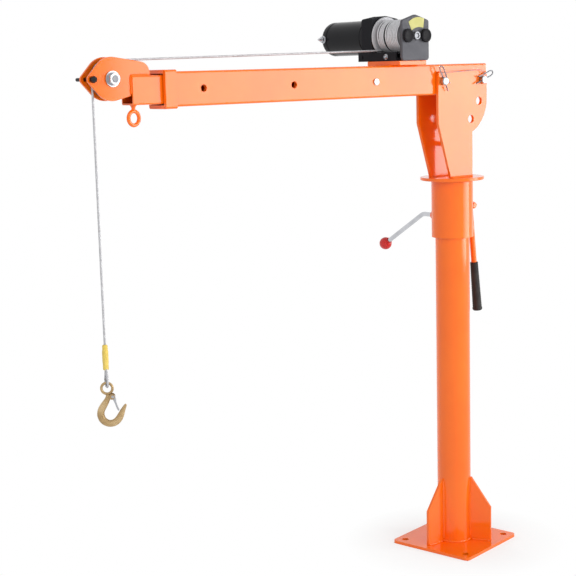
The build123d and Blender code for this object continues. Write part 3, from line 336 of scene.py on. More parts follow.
def hexagon(name, centre, axis, across, height, chamfer):
    """A hexagon with its outer corners turned off, for bolt heads and nuts."""
    corner = across / math.sqrt(3)
    head = bar(name, centre, centre + axis * height, corner, 6)
    section = [(-chamfer, 0), (-chamfer, corner + chamfer), (height - chamfer, corner + chamfer / 8)]
    section += [(height, across / 2 - chamfer / 4), (height, 0)]
    lathe = turned("lathe", section, centre, axis, 48)
    return soften(work(head, "INTERSECT", [lathe]), chamfer / 8, 2, 30)


def bent(name, points, radius=0.0, steps=12, sides=4, swell=None):
    """A smooth line, or with a radius a round wire along it, whose thickness can swell at each point."""
    clear()
    bpy.ops.curve.primitive_nurbs_path_add()
    path = bpy.context.active_object.data
    path.splines.clear()
    spline = path.splines.new("NURBS")
    spline.points.add(len(points) - 1)
    for point, place, size in zip(spline.points, points, swell or [1.0] * len(points)):
        point.co = (*place, 1)
        point.radius = size
    spline.order_u = min(3, len(points))
    spline.use_endpoint_u = True
    path.resolution_u = steps
    path.bevel_depth = radius
    path.bevel_resolution = sides
    path.use_fill_caps = True
    bpy.ops.object.convert(target="MESH")
    return settle(name)


def wire(name, points, radius, steps=12, sides=4):
    return outward(bent(name, points, radius, steps, sides))


def smooth_line(points, steps=12):
    """Points along the smooth line that a weld or a rope follows."""
    guide = bent("line", points, steps=steps)
    line = [vertex.co.copy() for vertex in guide.data.vertices]
    bpy.data.meshes.remove(guide.data)
    return line


def bead(name, points, radius, step=0.0045):
    """A run of weld metal: a round bead that swells and narrows along its line."""
    line = smooth_line(points)
    lengths = [0.0]
    for before, after in zip(line, line[1:]):
        lengths.append(lengths[-1] + (after - before).length)
    count = max(4, int(lengths[-1] / step) * 2)
    places = []
    index = 0
    for number in range(count + 1):
        target = lengths[-1] * number / count
        while index < len(line) - 2 and lengths[index + 1] < target:
            index += 1
        share = (target - lengths[index]) / max(lengths[index + 1] - lengths[index], TINY)
        places.append(line[index].lerp(line[index + 1], share))
    swell = [1.0 if number % 2 else 0.72 for number in range(count + 1)]
    return outward(bent(name, places, radius, 3, 2, swell))


def rope(name, line, diameter=ROPE_D):
    """Six strands laid round each other along a line, as one skin."""
    count = 24
    points, faces = [], []
    along = 0.0
    side = (line[1] - line[0]).normalized().orthogonal().normalized()
    for index, place in enumerate(line):
        before, after = line[max(index - 1, 0)], line[min(index + 1, len(line) - 1)]
        heading = (after - before).normalized()
        side = (side - heading * side.dot(heading)).normalized()
        over = heading.cross(side)
        along += (place - before).length
        for number in range(count):
            turn = 2 * math.pi * number / count
            radius = diameter / 2 * (0.9 + 0.1 * abs(math.cos(3 * turn)))
            turn += 2 * math.pi * along / ROPE_LAY
            points.append(place + side * radius * math.cos(turn) + over * radius * math.sin(turn))
    last = (len(line) - 1) * count
    for low in range(0, last, count):
        high = low + count
        for index in range(count):
            after = (index + 1) % count
            faces.append((low + index, low + after, high + after, high + index))
    faces.append(tuple(reversed(range(count))))
    faces.append(tuple(range(last, last + count)))
    mesh = bpy.data.meshes.new(name)
    mesh.from_pydata(points, [], faces)
    piece = bpy.data.objects.new(name, mesh)
    bpy.context.scene.collection.objects.link(piece)
    return outward(piece)


def dress(piece, finish, body, *nodes, angle=32):
    """Shade a finished piece, give it its finish, and put it on its body in place of its nodes."""
    hold(piece)
    bpy.ops.object.shade_smooth_by_angle(angle=math.radians(angle))
    change(piece, "WEIGHTED_NORMAL", keep_sharp=True)
    piece.data.materials.clear()
    piece.data.materials.append(finish)
    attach(piece, body)
    if nodes:
        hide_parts(*nodes)


def weld_runs(name, body, runs):
    """Beads of weld metal along several lines, each given as its radius and its points, as one piece."""
    beads = [bead(name, points, radius) for radius, *points in runs]
    dress(join(*beads), ORANGE, body)


# Finishes


def srgb(red, green, blue):
    """A colour as it is seen, from 0 to 255, as the shader wants it."""
    def linear(value):
        value /= 255
        return value / 12.92 if value <= 0.04045 else ((value + 0.055) / 1.055) ** 2.4

    return (linear(red), linear(green), linear(blue), 1)


def grey(value):
    return (value, value, value, 1)


def node(tree, kind, feeds, **settings):
    """The outputs of a new shader node. Each feed is a plain value, or an output to link in."""
    made = tree.nodes.new("ShaderNode" + kind)
    for key, value in settings.items():
        setattr(made, key, value)
    for key, value in feeds.items():
        if isinstance(value, bpy.types.NodeSocket):
            tree.links.new(value, made.inputs[key])
        else:
            made.inputs[key].default_value = value
    return made.outputs


def calc(tree, operation, *terms):
    """A sum of two or three terms, each a plain number or a link."""
    return node(tree, "Math", dict(enumerate(terms)), operation=operation)[0]


def coords(tree, **values):
    """Places on the piece in metres, shifted, turned or stretched."""
    place = node(tree, "TexCoord", {})["Object"]
    return node(tree, "Mapping", {"Vector": place, **values})["Vector"]


def noise(tree, scale, detail, stretch):
    feeds = {"Vector": coords(tree, Scale=stretch), "Scale": scale, "Detail": detail}
    return node(tree, "TexNoise", feeds)[0]


def ramp(tree, source, stops):
    """Turn a grey value into colours, given as places and colours."""
    made = tree.nodes.new("ShaderNodeValToRGB")
    points = made.color_ramp.elements
    while len(points) < len(stops):
        points.new(0.5)
    for point, (place, colour) in zip(points, stops):
        point.position = place
        point.color = colour
    tree.links.new(source, made.inputs["Fac"])
    return made.outputs["Color"]


def outer_edges(tree, low, high):
    """White along outer edges and black elsewhere."""
    shape = node(tree, "NewGeometry", {})["Pointiness"]
    return ramp(tree, shape, [(low, grey(0.0)), (high, grey(1.0))])


def deep_winding_shade(tree, near, far):
    """White up to one distance from the winch's axis and black from another on: the mask of the painted shade
    deep in the rope winding.
    """
    across = coords(tree, Location=(-WINCH[0], 0, -WINCH[1]), Scale=(1, 0, 1))
    away = node(tree, "VectorMath", {0: across}, operation="LENGTH")["Value"]
    return node(tree, "MapRange", {"Value": away, "From Min": far, "From Max": near})["Result"]


def coat(name, slot, shades, cloud, gloss, grain=None, stretch=(1, 1, 1), mask=None, masked=None,
         relief="Normal", **shader):
    """A finish with a clouded colour, uneven gloss and a fine relief. A mask can bring in another colour.

    A cloud is a noise scale and detail. A gloss adds two roughnesses, and a grain its depth and strength.
    """
    material = bpy.data.materials.new(name)
    material.use_nodes = True
    tree = material.node_tree
    inputs = tree.nodes["Principled BSDF"].inputs
    for key, value in shader.items():
        inputs[key.replace("_", " ")].default_value = value
    places = (0.3, 0.7) if len(shades) == 2 else (0.3, 0.55, 0.75)
    stops = [(place, srgb(*shade)) for place, shade in zip(places, shades)]
    colour = ramp(tree, noise(tree, *cloud, stretch), stops)
    if mask:
        make, *limits = mask
        feeds = {"Factor": make(tree, *limits), 6: colour, 7: srgb(*masked)}
        colour = node(tree, "Mix", feeds, data_type="RGBA")[2]
    tree.links.new(colour, inputs["Base Color"])
    scale, detail, low, high = gloss
    stops = [(0.3, grey(low)), (0.7, grey(high))]
    tree.links.new(ramp(tree, noise(tree, scale, detail, stretch), stops), inputs["Roughness"])
    if grain:
        scale, detail, depth, strength = grain
        feeds = {"Height": noise(tree, scale, detail, stretch), "Distance": depth, "Strength": strength}
        tree.links.new(node(tree, "Bump", feeds)["Normal"], inputs[relief])
    return material


def turned_steel(name, slot, dark, light, low, high):
    """Plain steel with fine lines round it."""
    lines = (60, 3)
    gloss, grain = (*lines, low, high), (*lines, 0.00005, 0.3)
    return coat(name, slot, (dark, light), lines, gloss, grain, (1, 18, 1), Metallic=1.0)


def moulded(name, slot, dark, light, low, high, grain, ior=1.45):
    """A moulded plastic or rubber with a fine surface grain."""
    return coat(name, slot, (dark, light), (45, 3), (240, 3, low, high), (grain, 2, 0.0001, 0.4), IOR=ior)


ORANGE = coat("orange_gloss_paint", "orange_paint", ((247, 106, 8), (252, 115, 14)), (7, 3),
              (60, 4, 0.4, 0.48), (150, 2, 0.00002, 0.5), relief="Coat Normal", IOR=1.1,
              Coat_Weight=1.0, Coat_IOR=1.48, Coat_Roughness=0.1)
ZINC = coat("bright_zinc", "zinc_plate", ((166, 168, 172), (190, 192, 196)), (90, 4), (300, 2, 0.26, 0.36),
            (900, 2, 0.00002, 0.3), Metallic=1.0)
CHROME = coat("bright_chrome", "zinc_plate", ((184, 185, 189), (204, 205, 209)), (40, 3), (40, 3, 0.12, 0.2),
              Metallic=1.0)
STEEL = turned_steel("turned_steel", "zinc_plate", (112, 113, 117), (140, 141, 145), 0.36, 0.5)
# A darker copy of the turned steel: painted shade for the sheave, which sits between the plates
SHADED_STEEL = turned_steel("shaded_steel", "bare_steel", (62, 63, 62), (84, 85, 83), 0.4, 0.55)
WIRE = coat("galvanised_rope", "wire_rope", ((172, 172, 175), (200, 200, 203)), (160, 4), (700, 2, 0.4, 0.55),
            Metallic=0.3)
# Rope on the drum with painted shade: dark grey near the drum's axis, so the lower layer and the undersides
# of the upper turns are darkened
WOUND_WIRE = coat("wound_rope", "wire_rope", ((204, 204, 207), (226, 226, 229)), (160, 4),
                  (700, 2, 0.4, 0.55), mask=(deep_winding_shade, WOUND_R + 0.0044, WOUND_R + 0.0064),
                  masked=(44, 44, 46), Metallic=0.3)
MOTOR_BLACK = coat("motor_black", "black_paint", ((7, 7, 12), (12, 12, 18)), (18, 3), (120, 3, 0.16, 0.22),
                   (700, 2, 0.00002, 0.2), IOR=1.28)
# Paler along its outer edges: a painted highlight of the gloss on the edges
BRACKET_BLACK = coat("bracket_black", "black_paint", ((6, 6, 8), (12, 12, 14)), (40, 4), (300, 3, 0.5, 0.65),
                     (900, 3, 0.0001, 0.3), mask=(outer_edges, 0.55, 0.66), masked=(44, 45, 48), IOR=1.06)
GEAR_GREY = coat("gear_case_grey", "dark_casting", ((80, 80, 85), (92, 92, 97)), (30, 4),
                 (260, 3, 0.48, 0.62), (1100, 2, 0.0001, 0.4), mask=(outer_edges, 0.54, 0.66),
                 masked=(40, 40, 44), IOR=1.3)
GOLD = coat("gold_chromate", "gold_chromate", ((150, 122, 82), (186, 157, 112), (212, 186, 144)), (34, 4),
            (260, 3, 0.3, 0.42), (380, 4, 0.0002, 0.25), Metallic=0.55)
RED = moulded("red_ball_plastic", "red_ball", (196, 34, 32), (214, 46, 42), 0.2, 0.3, 500)
KNOB_BLACK = moulded("knob_black", "dark_knob", (16, 15, 18), (25, 24, 28), 0.4, 0.55, 900, 1.22)
GRIP_BLACK = moulded("grip_rubber", "grip_rubber", (34, 32, 31), (48, 46, 44), 0.6, 0.75, 1200)
SLEEVE_YELLOW = moulded("sleeve_yellow", "yellow_sleeve", (220, 192, 88), (232, 204, 108), 0.4, 0.55, 700)
DIAL_YELLOW = moulded("dial_yellow", "pale_yellow", (188, 184, 114), (200, 196, 132), 0.5, 0.65, 600, 1.2)
SPOOL_GREY = moulded("spool_grey", "zinc_plate", (186, 186, 189), (202, 202, 205), 0.45, 0.6, 500, 1.3)
BRONZE = moulded("bearing_bronze", None, (150, 108, 52), (172, 126, 66), 0.35, 0.5, 500)
NYLON = moulded("nylon_white", None, (212, 208, 196), (226, 222, 212), 0.4, 0.5, 500)

# Base plate, post and gussets


def ring_line(radius, z):
    """Guide points of a level ring about the post."""
    return [(x, y, z) for x, y in arc((0, 0), radius, 0, 360, 16)]


def pipe(name, solid, radius, wall, edge, body):
    """A round tube about the post's axis, as tall as its solid."""
    low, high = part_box(solid)
    piece = round_tube(name, low[2], high[2], radius - wall, radius, (0, 0, 0), Z, 96)
    dress(soften(piece, edge), ORANGE, body, solid)


def base_plate():
    piece = slab("base_plate_sheet", (-PLATE_HALF, -PLATE_HALF, 0), (PLATE_HALF, PLATE_HALF, PLATE_T))
    round_edges(piece, lambda first, last: abs(first.z - last.z) > NEAR, 0.012, 8)
    for x in (-BOLT_REACH, BOLT_REACH):
        for y in (-BOLT_REACH, BOLT_REACH):
            cut(piece, bar("drill", (x, y, -PLATE_T), (x, y, 2 * PLATE_T), BOLT_HOLE_R))
    soften(piece, 0.0009)
    piece.data.transform(turn_z(PLATE_TURN))
    dress(piece, ORANGE, "base", "base_plate")


def post():
    pipe("post_pipe", "post_tube", POST_R, 0.005, 0.0008, "base")
    weld_runs("post_foot_weld", "base", [(0.0042, *ring_line(POST_R + 0.0015, PLATE_T + 0.0015))])


def gussets():
    reach, knee, rise, half = 0.101, 0.101, 0.180, 0.004
    inner = POST_R - 0.0006
    outline = [(inner, PLATE_T), (reach, PLATE_T), (reach, knee), (POST_R + half, rise), (inner, rise)]
    wing = soften(plate("gusset", outline, -half, half), 0.0009)
    seams = []
    for y in (-half - 0.0008, half + 0.0008):
        foot = [(POST_R + 0.006, y, PLATE_T + 0.001), (reach - 0.002, y, PLATE_T + 0.001)]
        back = [(POST_R, y, PLATE_T + 0.008), (POST_R, y, rise - 0.003)]
        seams += [bead("gusset_weld", run, 0.003) for run in (foot, back)]
    seam = join(*seams)
    for first, nodes in ((wing, ["gussets"]), (seam, [])):
        others = [copy(first, first.name, turn_z(turn)) for turn in (120, 240)]
        dress(join(first, *others), ORANGE, "base", *nodes)


# Swivel head


def collar():
    pipe("collar_tube", "swivel_collar", COLLAR_R, 0.006, 0.0009, "head")
    low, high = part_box("head_flange")
    pipe("flange_disc", "head_flange", high[0], high[0], 0.0014, "head")
    weld_runs("collar_weld", "head", [(0.0036, *ring_line(COLLAR_R + 0.0012, low[2] - 0.0012))])


def cheeks():
    front, rear, neck, foot = 0.087, -0.089, -0.035, 0.044
    top, knee = PIVOT[1] + 0.024, PIVOT[1] - 0.106
    back_r = 0.093
    neck_turn = 360 - math.degrees(math.acos((neck - rear - back_r) / back_r))
    outline = [(front, top), (rear, top)]
    outline += arc((rear + back_r, PIVOT[1] - 0.047), back_r, 180, neck_turn, 14)
    outline += [(neck, FLANGE_TOP), (foot, FLANGE_TOP), (front, knee)]
    piece = plate("near_cheek_plate", outline, CHEEK_IN, CHEEK_OUT)
    for corner in outline[:2]:
        round_corner(piece, *corner, 0.010)
    drill(piece, *PIVOT, 0.01005)
    for number in range(3):
        place = at(PIVOT) - toward(INDEX_STEP * number) * INDEX_R
        drill(piece, place.x, place.z, INDEX_HOLE_R)
    soften(piece, 0.0009)
    far = mirrored_y(piece, "far_cheek_plate")
    dress(piece, ORANGE, "head", "near_cheek")
    dress(far, ORANGE, "head", "far_cheek")
    inner, outer, z = CHEEK_IN + 0.0012, CHEEK_OUT + 0.0012, FLANGE_TOP + 0.001
    runs = [(0.0034, (-0.033, y, z), (0.042, y, z)) for y in (outer, inner, -inner, -outer)]
    weld_runs("cheek_foot_weld", "head", runs)


def tie_bar():
    x, z, radius = -0.025, FLANGE_TOP + 0.082, 0.0065
    rod = round_tube("tie_rod", -CHEEK_IN, CHEEK_IN, 0, radius, (x, 0, z), Y, 40)
    dress(rod, ORANGE, "head", "cheek_tie")
    seams = []
    for y in (-CHEEK_IN + 0.0014, CHEEK_IN - 0.0014):
        ring = [(a, y, b) for a, b in arc((x, z), radius + 0.0013, 0, 360, 10)]
        seams.append(bead("tie_weld", ring, 0.0030, 0.0055))
    dress(join(*seams), ORANGE, "head")


def pins():
    """Two headed pins, each cross-drilled for a spring clip at its near end."""
    head, shank, back, tail = 0.015, 0.010, -0.046, CHEEK_OUT + 0.013
    section = [(back, 0), (back, head - 0.0015), (back + 0.0015, head), (-0.0412, head)]
    section += [(-CHEEK_OUT, head - 0.0012), (-CHEEK_OUT, shank)]
    section += [(tail - 0.0022, shank), (tail, shank - 0.0022), (tail, 0)]
    for name, solid, clip in zip(("tilt_pin", "index_pin"), ("pivot_pin", "lock_pin"), CLIPS):
        x, turn = clip[:2]
        piece = turned(name, section, (x, 0, PIVOT[1]), Y, 56)
        centre, half = Vector((x, CLIP_Y, PIVOT[1])), toward(turn) * 0.03
        cut(piece, bar("drill", centre - half, centre + half, 0.00185, 20))
        dress(soften(piece, 0.0005, 2), ZINC, "head", solid)


def clips():
    """Two spring clips, each with a straight leg through its pin and a bowed one over it, and a thin wire."""
    shape = [(-0.028, 0), (-0.010, 0), (0.010, 0), (0.022, 0), (0.0315, -0.0002), (0.039, 0.0032)]
    shape += [(0.039, 0.0092), (0.0315, 0.0130), (0.021, 0.0128), (0.010, 0.0122), (0.0, 0.0121)]
    shape += [(-0.008, 0.0120), (-0.0145, 0.0150)]
    loops = []
    for x, turn, side in CLIPS:
        centre, along, up = Vector((x, CLIP_Y, PIVOT[1])), toward(turn), toward(turn + 90) * side
        loops.append(wire("spring_clip", [centre + along * a + up * b for a, b in shape], 0.0016, sides=5))
    slack = [(PIVOT[0] + 0.0074, 0.021), (PIVOT[0] - 0.050, 0.0225), (LOCK_X + 0.040, 0.0248)]
    slack += [(LOCK_X + 0.0067, 0.0266), (LOCK_X - 0.0057, 0.0169)]
    loops.append(wire("clip_wire", [(x, CLIP_Y, PIVOT[1] + rise) for x, rise in slack], 0.0007, sides=3))
    dress(join(*loops), STEEL, "head", "hitch_clips", angle=60)


# Turning handle and swivel lock lever


def handle():
    back, edge = -COLLAR_R + 0.004, 0.0095
    outline = [(back, HANDLE.z - edge), (back, HANDLE.z + edge)]
    outline += arc((HANDLE.x, HANDLE.z), edge, 90, 270, 14)
    lugs = [soften(plate("handle_lug", outline, y, y + 0.006), 0.0008) for y in (-0.014, 0.008)]
    dress(join(*lugs), ORANGE, "head", "handle_bracket")
    shank = bar("handle_bolt_set", HANDLE - Y * 0.0142, HANDLE + Y * 0.0142, 0.005)
    ends = [hexagon("head", HANDLE + out * 0.014, out, 0.013, 0.005, 0.001) for out in (Y, -Y)]
    dress(join(shank, *ends), ORANGE, "head", "handle_bolt")

    down = toward(270 - HANDLE_LEAN)
    rod_r, eye_half = 0.0075, 0.0075
    eye = soften(round_tube("handle_eye", -eye_half, eye_half, 0.0051, edge, HANDLE, Y, 40), 0.0008)
    rod = bar("handle_rod", HANDLE + down * rod_r, HANDLE + down * 0.282, rod_r, 40)
    dress(join(rod, eye), ORANGE, "handle", "handle_bar")
    start, end, ribs, bore = 0.154, 0.286, 20, 0.0076
    pitch = (end - start - 0.016) / ribs
    section = [(start, bore), (start, 0.0096), (start + 0.0015, 0.0104), (start + 0.005, 0.0104)]
    for number in range(ribs):
        along = start + 0.006 + number * pitch
        low = 0.0101 + 0.0018 * number / ribs
        section += [(along, low), (along + 0.3 * pitch, low + 0.0004), (along + 0.7 * pitch, low + 0.0004)]
    section += [(end - 0.010, 0.0119), (end - 0.007, 0.0130), (end - 0.003, 0.0130), (end, 0.0106), (end, 0)]
    section += [(end - 0.003, 0), (end - 0.003, bore)]
    grip = turned("hand_grip", section, HANDLE, down, 56)
    dress(soften(grip, 0.0006, 2, 20), GRIP_BLACK, "handle", "handle_grip", angle=50)


def lock_lever():
    z = 0.880
    boss = round_tube("lock_boss_nut", 0.050, COLLAR_R + 0.015, 0.0062, 0.013, (0, 0, z), -Y, 48)
    dress(soften(boss, 0.0012), ORANGE, "head", "lock_boss")
    drop = math.radians(31.7)
    bend = Vector((0, -0.1085, z))
    arm = Vector((0, -math.cos(drop), -math.sin(drop)))
    points = [(0, -0.0478, z), bend + Y * 0.016, bend, bend + arm * 0.016, bend + arm * 0.162]
    rod = wire("lever_bar", points, 0.006, 16, 8)
    dress(rod, CHROME, "lock_lever", "lever_rod", angle=50)
    radius = 0.017
    section = arc((0, 0), radius, 0, 152, 19)
    section += [(-radius - 0.0008, 0.0085), (-radius - 0.0012, 0.0065)]
    section += [(-radius + 0.003, 0.0061), (-radius + 0.003, 0)]
    knob = turned("lever_knob", section, bend + arm * 0.1745, arm, 56)
    dress(knob, RED, "lock_lever", "lever_ball", angle=50)


# Boom


def beam(name, x0, x1, half_w, half_h, corner, steps):
    """A bar along the boom with round long edges."""
    piece = slab(name, (x0, -half_w, BOOM_Z - half_h), (x1, half_w, BOOM_Z + half_h))
    round_edges(piece, lambda first, last: abs(first.x - last.x) > NEAR, corner, steps)
    return piece


def tube(name, solid, corner):
    """A box tube along the boom, as large as its solid."""
    low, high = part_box(solid)
    half_w, half_h = high[1], high[2] - BOOM_Z
    piece = beam(name, low[0], high[0], half_w, half_h, corner, 6)
    inner_w, inner_h = half_w - TUBE_WALL, half_h - TUBE_WALL
    inner_corner = max(corner - TUBE_WALL, corner / 2)
    bore = beam("bore", low[0] - TUBE_WALL, high[0] + TUBE_WALL, inner_w, inner_h, inner_corner, 4)
    return cut(piece, bore)


def boom():
    piece = tube("boom_beam", "boom_tube", 0.005)
    for x in LOCK_HOLES:
        drill(piece, x, BOOM_Z, LOCK_HOLE_R)
    drill(piece, *PIVOT, 0.014)
    drill(piece, LOCK_X, PIVOT[1], INDEX_HOLE_R)
    dress(soften(piece, 0.0007), ORANGE, "boom", "boom_tube")
    radius, back, front = LOCK_HOLE_R - 0.0001, -0.036, 0.0332
    section = [(back, 0), (back, radius - 0.0016), (back + 0.0016, radius)]
    section += [(front - 0.0006, radius), (front, radius - 0.0006), (front, 0)]
    pin = turned("boom_stop_pin", section, (LOCK_HOLES[2], 0, BOOM_Z), Y, 56)
    dress(soften(pin, 0.0004, 2), ZINC, "boom")
    dress(soften(tube("boom_end_band", "boom_band", 0.005), 0.0009), ORANGE, "boom", "boom_band")


def extension():
    piece = tube("extension_beam", "extension_tube", 0.004)
    for x in LOCK_HOLES[:2]:
        drill(piece, x, BOOM_Z, LOCK_HOLE_R)
    dress(soften(piece, 0.0007), ORANGE, "extension", "extension_tube")


# Sheave head


def sheave_plates():
    plate_r, nose_r = 0.046, 0.011
    tail_x, tail_low, tail_high = AXLE[0] - 0.094, 1.266, 1.292
    end_x, heel_z = 0.978, 1.224
    nose_x = AXLE[0] + KEEPER_REACH
    lean = 90 - math.degrees(math.asin((plate_r - nose_r) / KEEPER_REACH))
    outline = arc((nose_x, AXLE[1]), nose_r, -lean, lean, 12)
    outline += arc(AXLE, plate_r, lean, 98, 14)
    outline += [(tail_x, tail_high), (tail_x, tail_low), (end_x, tail_low), (end_x, heel_z)]
    outline += arc(AXLE, plate_r, 256.8, 360 - lean, 16)
    piece = plate("near_sheave_plate", outline, SIDE_OUT - 0.006, SIDE_OUT)
    round_corner(piece, tail_x, tail_high, 0.020)
    drill(piece, *AXLE, AXLE_HOLE_R)
    drill(piece, nose_x, AXLE[1], 0.0041)
    soften(piece, 0.0008)
    both = join(piece, mirrored_y(piece, "far_sheave_plate"))
    dress(both, ORANGE, "extension", "sheave_plates")
    runs = []
    seam_x, seam_z = end_x + 0.0008, tail_low + 0.0008
    for y in (-SIDE_OUT - 0.001, SIDE_OUT + 0.001):
        runs.append((0.003, (tail_x + 0.004, y, seam_z), (end_x, y, seam_z)))
        runs.append((0.0028, (seam_x, y, tail_low), (seam_x, y, heel_z + 0.004)))
    weld_runs("sheave_plate_weld", "extension", runs)


def sheave_wheel():
    half, web, rim, edge, groove = 0.007, 0.004, 0.0335, 0.0400, 0.0028
    side = [(web, edge), (half, edge), (half, rim), (web, rim - 0.001)]
    side += [(web, 0.0168), (half, 0.016), (half, 0.011)]
    section = [(-y, radius) for y, radius in reversed(side)]
    for turn in range(-70, 71, 20):
        angle = math.radians(turn)
        section.append((groove * math.sin(angle), SHEAVE_PITCH_R - groove * math.cos(angle)))
    piece = turned("sheave_wheel", section + side, at(AXLE), Y, 96)
    # The sheave's darker steel is painted shade from the plates round it
    dress(soften(piece, 0.0005, 2), SHADED_STEEL, "sheave", "sheave")


def axle_set():
    centre = at(AXLE)
    spacer = SIDE_OUT - 0.0134
    rings = []
    for out in (Y, -Y):
        rings.append(washer("axle_washer", centre + out * SIDE_OUT, out, 0.017, AXLE_HOLE_R, 0.003))
        rings.append(washer("axle_spacer", centre + out * 0.0072, out, 0.0125, AXLE_HOLE_R, spacer))
    dress(join(*rings), CHROME, "extension", "axle_washers")
    outer, radius = SIDE_OUT + 0.003, 0.008
    near, far = outer + 0.011, -outer - 0.014
    section = [(far, 0), (far, 0.0066), (far + 0.0013, radius)]
    section += [(near - 0.0009, radius), (near, 0.0070), (near, 0)]
    dress(turned("axle_screw", section, centre, Y, 48), STEEL, "extension")
    for name, solid, out in (("axle_hex_head", "axle_bolt", Y), ("axle_hex_nut", "axle_nut", -Y)):
        dress(hexagon(name, centre + out * outer, out, 0.024, 0.010, 0.0018), CHROME, "extension", solid)


def keeper_set():
    centre = Vector((AXLE[0] + KEEPER_REACH, 0, AXLE[1]))
    far, near, radius = -0.0455, SIDE_OUT + 0.0001, 0.004
    section = [(far, 0), (far, radius - 0.0008), (far + 0.001, radius), (near, radius), (near, 0)]
    shank = turned("keeper_screw", section, centre, Y, 32)
    head = hexagon("head", centre + Y * SIDE_OUT, Y, 0.013, 0.009, 0.001)
    dress(join(shank, head), MOTOR_BLACK, "extension", "keeper_bolt")
    nut = hexagon("keeper_hex_nut", centre - Y * SIDE_OUT, -Y, 0.013, 0.006, 0.001)
    dress(nut, MOTOR_BLACK, "extension", "keeper_nut")


def tip_eye():
    x, ring_z, ring_r, wire_r = 0.964, 1.176, 0.0150, 0.0043
    ring = torus("tip_ring", (x, 0, ring_z), ring_r, wire_r, 64, 10)
    rise = 1.204 - ring_z - ring_r
    section = [(0, 0), (0, wire_r), (rise - 0.006, wire_r), (rise - 0.003, 0.0056), (rise, 0.0080), (rise, 0)]
    stem = turned("stem", section, (x, 0, ring_z + ring_r), Z, 32)
    dress(soften(weld(ring, stem), 0.0008, 2, 50), ORANGE, "extension", "eye_bolt", angle=50)


# Winch


def winch_mount():
    low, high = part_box("winch_plate")
    dress(soften(slab("winch_seat", low, high), 0.0012), ORANGE, "boom", "winch_plate")
    half, z = 0.026, BOOM_TOP + 0.0008
    ends = (low[0] - 0.0008, high[0] + 0.0008)
    weld_runs("winch_seat_weld", "boom", [(0.003, (x, -half, z), (x, half, z)) for x in ends])
    low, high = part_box("winch_base")
    bed_top, wall = WINCH_FOOT + 0.008, 0.005
    bed = slab("winch_bed", low, (high[0], high[1], bed_top))
    front = slab("wall", (high[0] - wall, low[1], low[2]), high)
    rear = slab("wall", low, (low[0] + wall, high[1], high[2]))
    dress(soften(weld(bed, front, rear), 0.001), BRACKET_BLACK, "boom", "winch_base")
    bolts = []
    for x in (WINCH[0] - 0.031, WINCH[0] + 0.031):
        for y in (-0.010, 0.014):
            place = Vector((x, y, bed_top))
            bolts.append(washer("winch_bolt_washer", place, Z, 0.0085, 0.004, 0.0016))
            bolts.append(hexagon("winch_bolt_head", place + Z * 0.0014, Z, 0.013, 0.0041, 0.001))
    dress(join(*bolts), ZINC, "boom", "winch_bolts")
    place = Vector((high[0], 0.010, WINCH_FOOT + 0.0105))
    seat = washer("bed_screw", place, X, 0.0068, 0.002, 0.001)
    dress(join(seat, hexagon("head", place + X * 0.0008, X, 0.010, 0.003, 0.001)), CHROME, "boom")


def housing(name, y0, y1, low_r, high_r, shoulder, peak):
    """An end housing with a low roof and round corners."""
    left, right = WINCH[0] - HOUSING_HALF, WINCH[0] + HOUSING_HALF
    shoulder, peak = WINCH[1] + shoulder, WINCH[1] + peak
    outline = [(left, WINCH_FOOT), (right, WINCH_FOOT), (right, shoulder), (WINCH[0], peak), (left, shoulder)]
    piece = plate(name, outline, y0, y1)
    for corner, radius in zip(outline, (low_r, low_r, high_r, high_r, high_r)):
        round_corner(piece, *corner, radius)
    return piece


def gear_case():
    """A cast case with its full outline in front, drawn in towards the drum."""
    piece = housing("gear_case", GEAR_IN, GEAR_OUT, 0.008, 0.005, 0.037, 0.051)
    edit(piece, "VERT")
    bpy.ops.mesh.bisect(plane_co=(0, GEAR_OUT - 0.006, 0), plane_no=(0, 1, 0))
    leave()
    pick_faces(piece, lambda normal: normal.y < -0.9)
    middle = (WINCH[0], GEAR_IN, WINCH[1] - 0.004)
    bpy.ops.transform.resize(value=(0.66, 1, 0.80), center_override=middle)
    leave()
    pick_faces(piece, lambda normal: normal.y > 0.9)
    bpy.ops.mesh.bevel(offset=0.0028, segments=4, affect="EDGES")
    leave()
    dress(soften(piece, 0.0008, 2, 60), GEAR_GREY, "boom", "gear_housing")


def motor_bracket():
    piece = housing("motor_bracket", MOTOR_OUT, MOTOR_IN, 0.004, 0.006, 0.044, 0.052)
    reach, rise = 0.0135, 0.028
    low = (WINCH[0] - HOUSING_HALF, MOTOR_OUT - reach, WINCH_FOOT)
    high = (WINCH[0] + HOUSING_HALF, MOTOR_OUT + reach, WINCH_FOOT + rise)
    weld(piece, slab("foot", low, high))
    start, end = (WINCH[0], MOTOR_OUT - 2 * reach, WINCH[1]), (WINCH[0], MOTOR_OUT, WINCH[1])
    cut(piece, bar("bore", start, end, MOTOR_R + 0.0002, 96))
    dress(soften(piece, 0.0016, 3, 45), BRACKET_BLACK, "boom", "motor_housing")


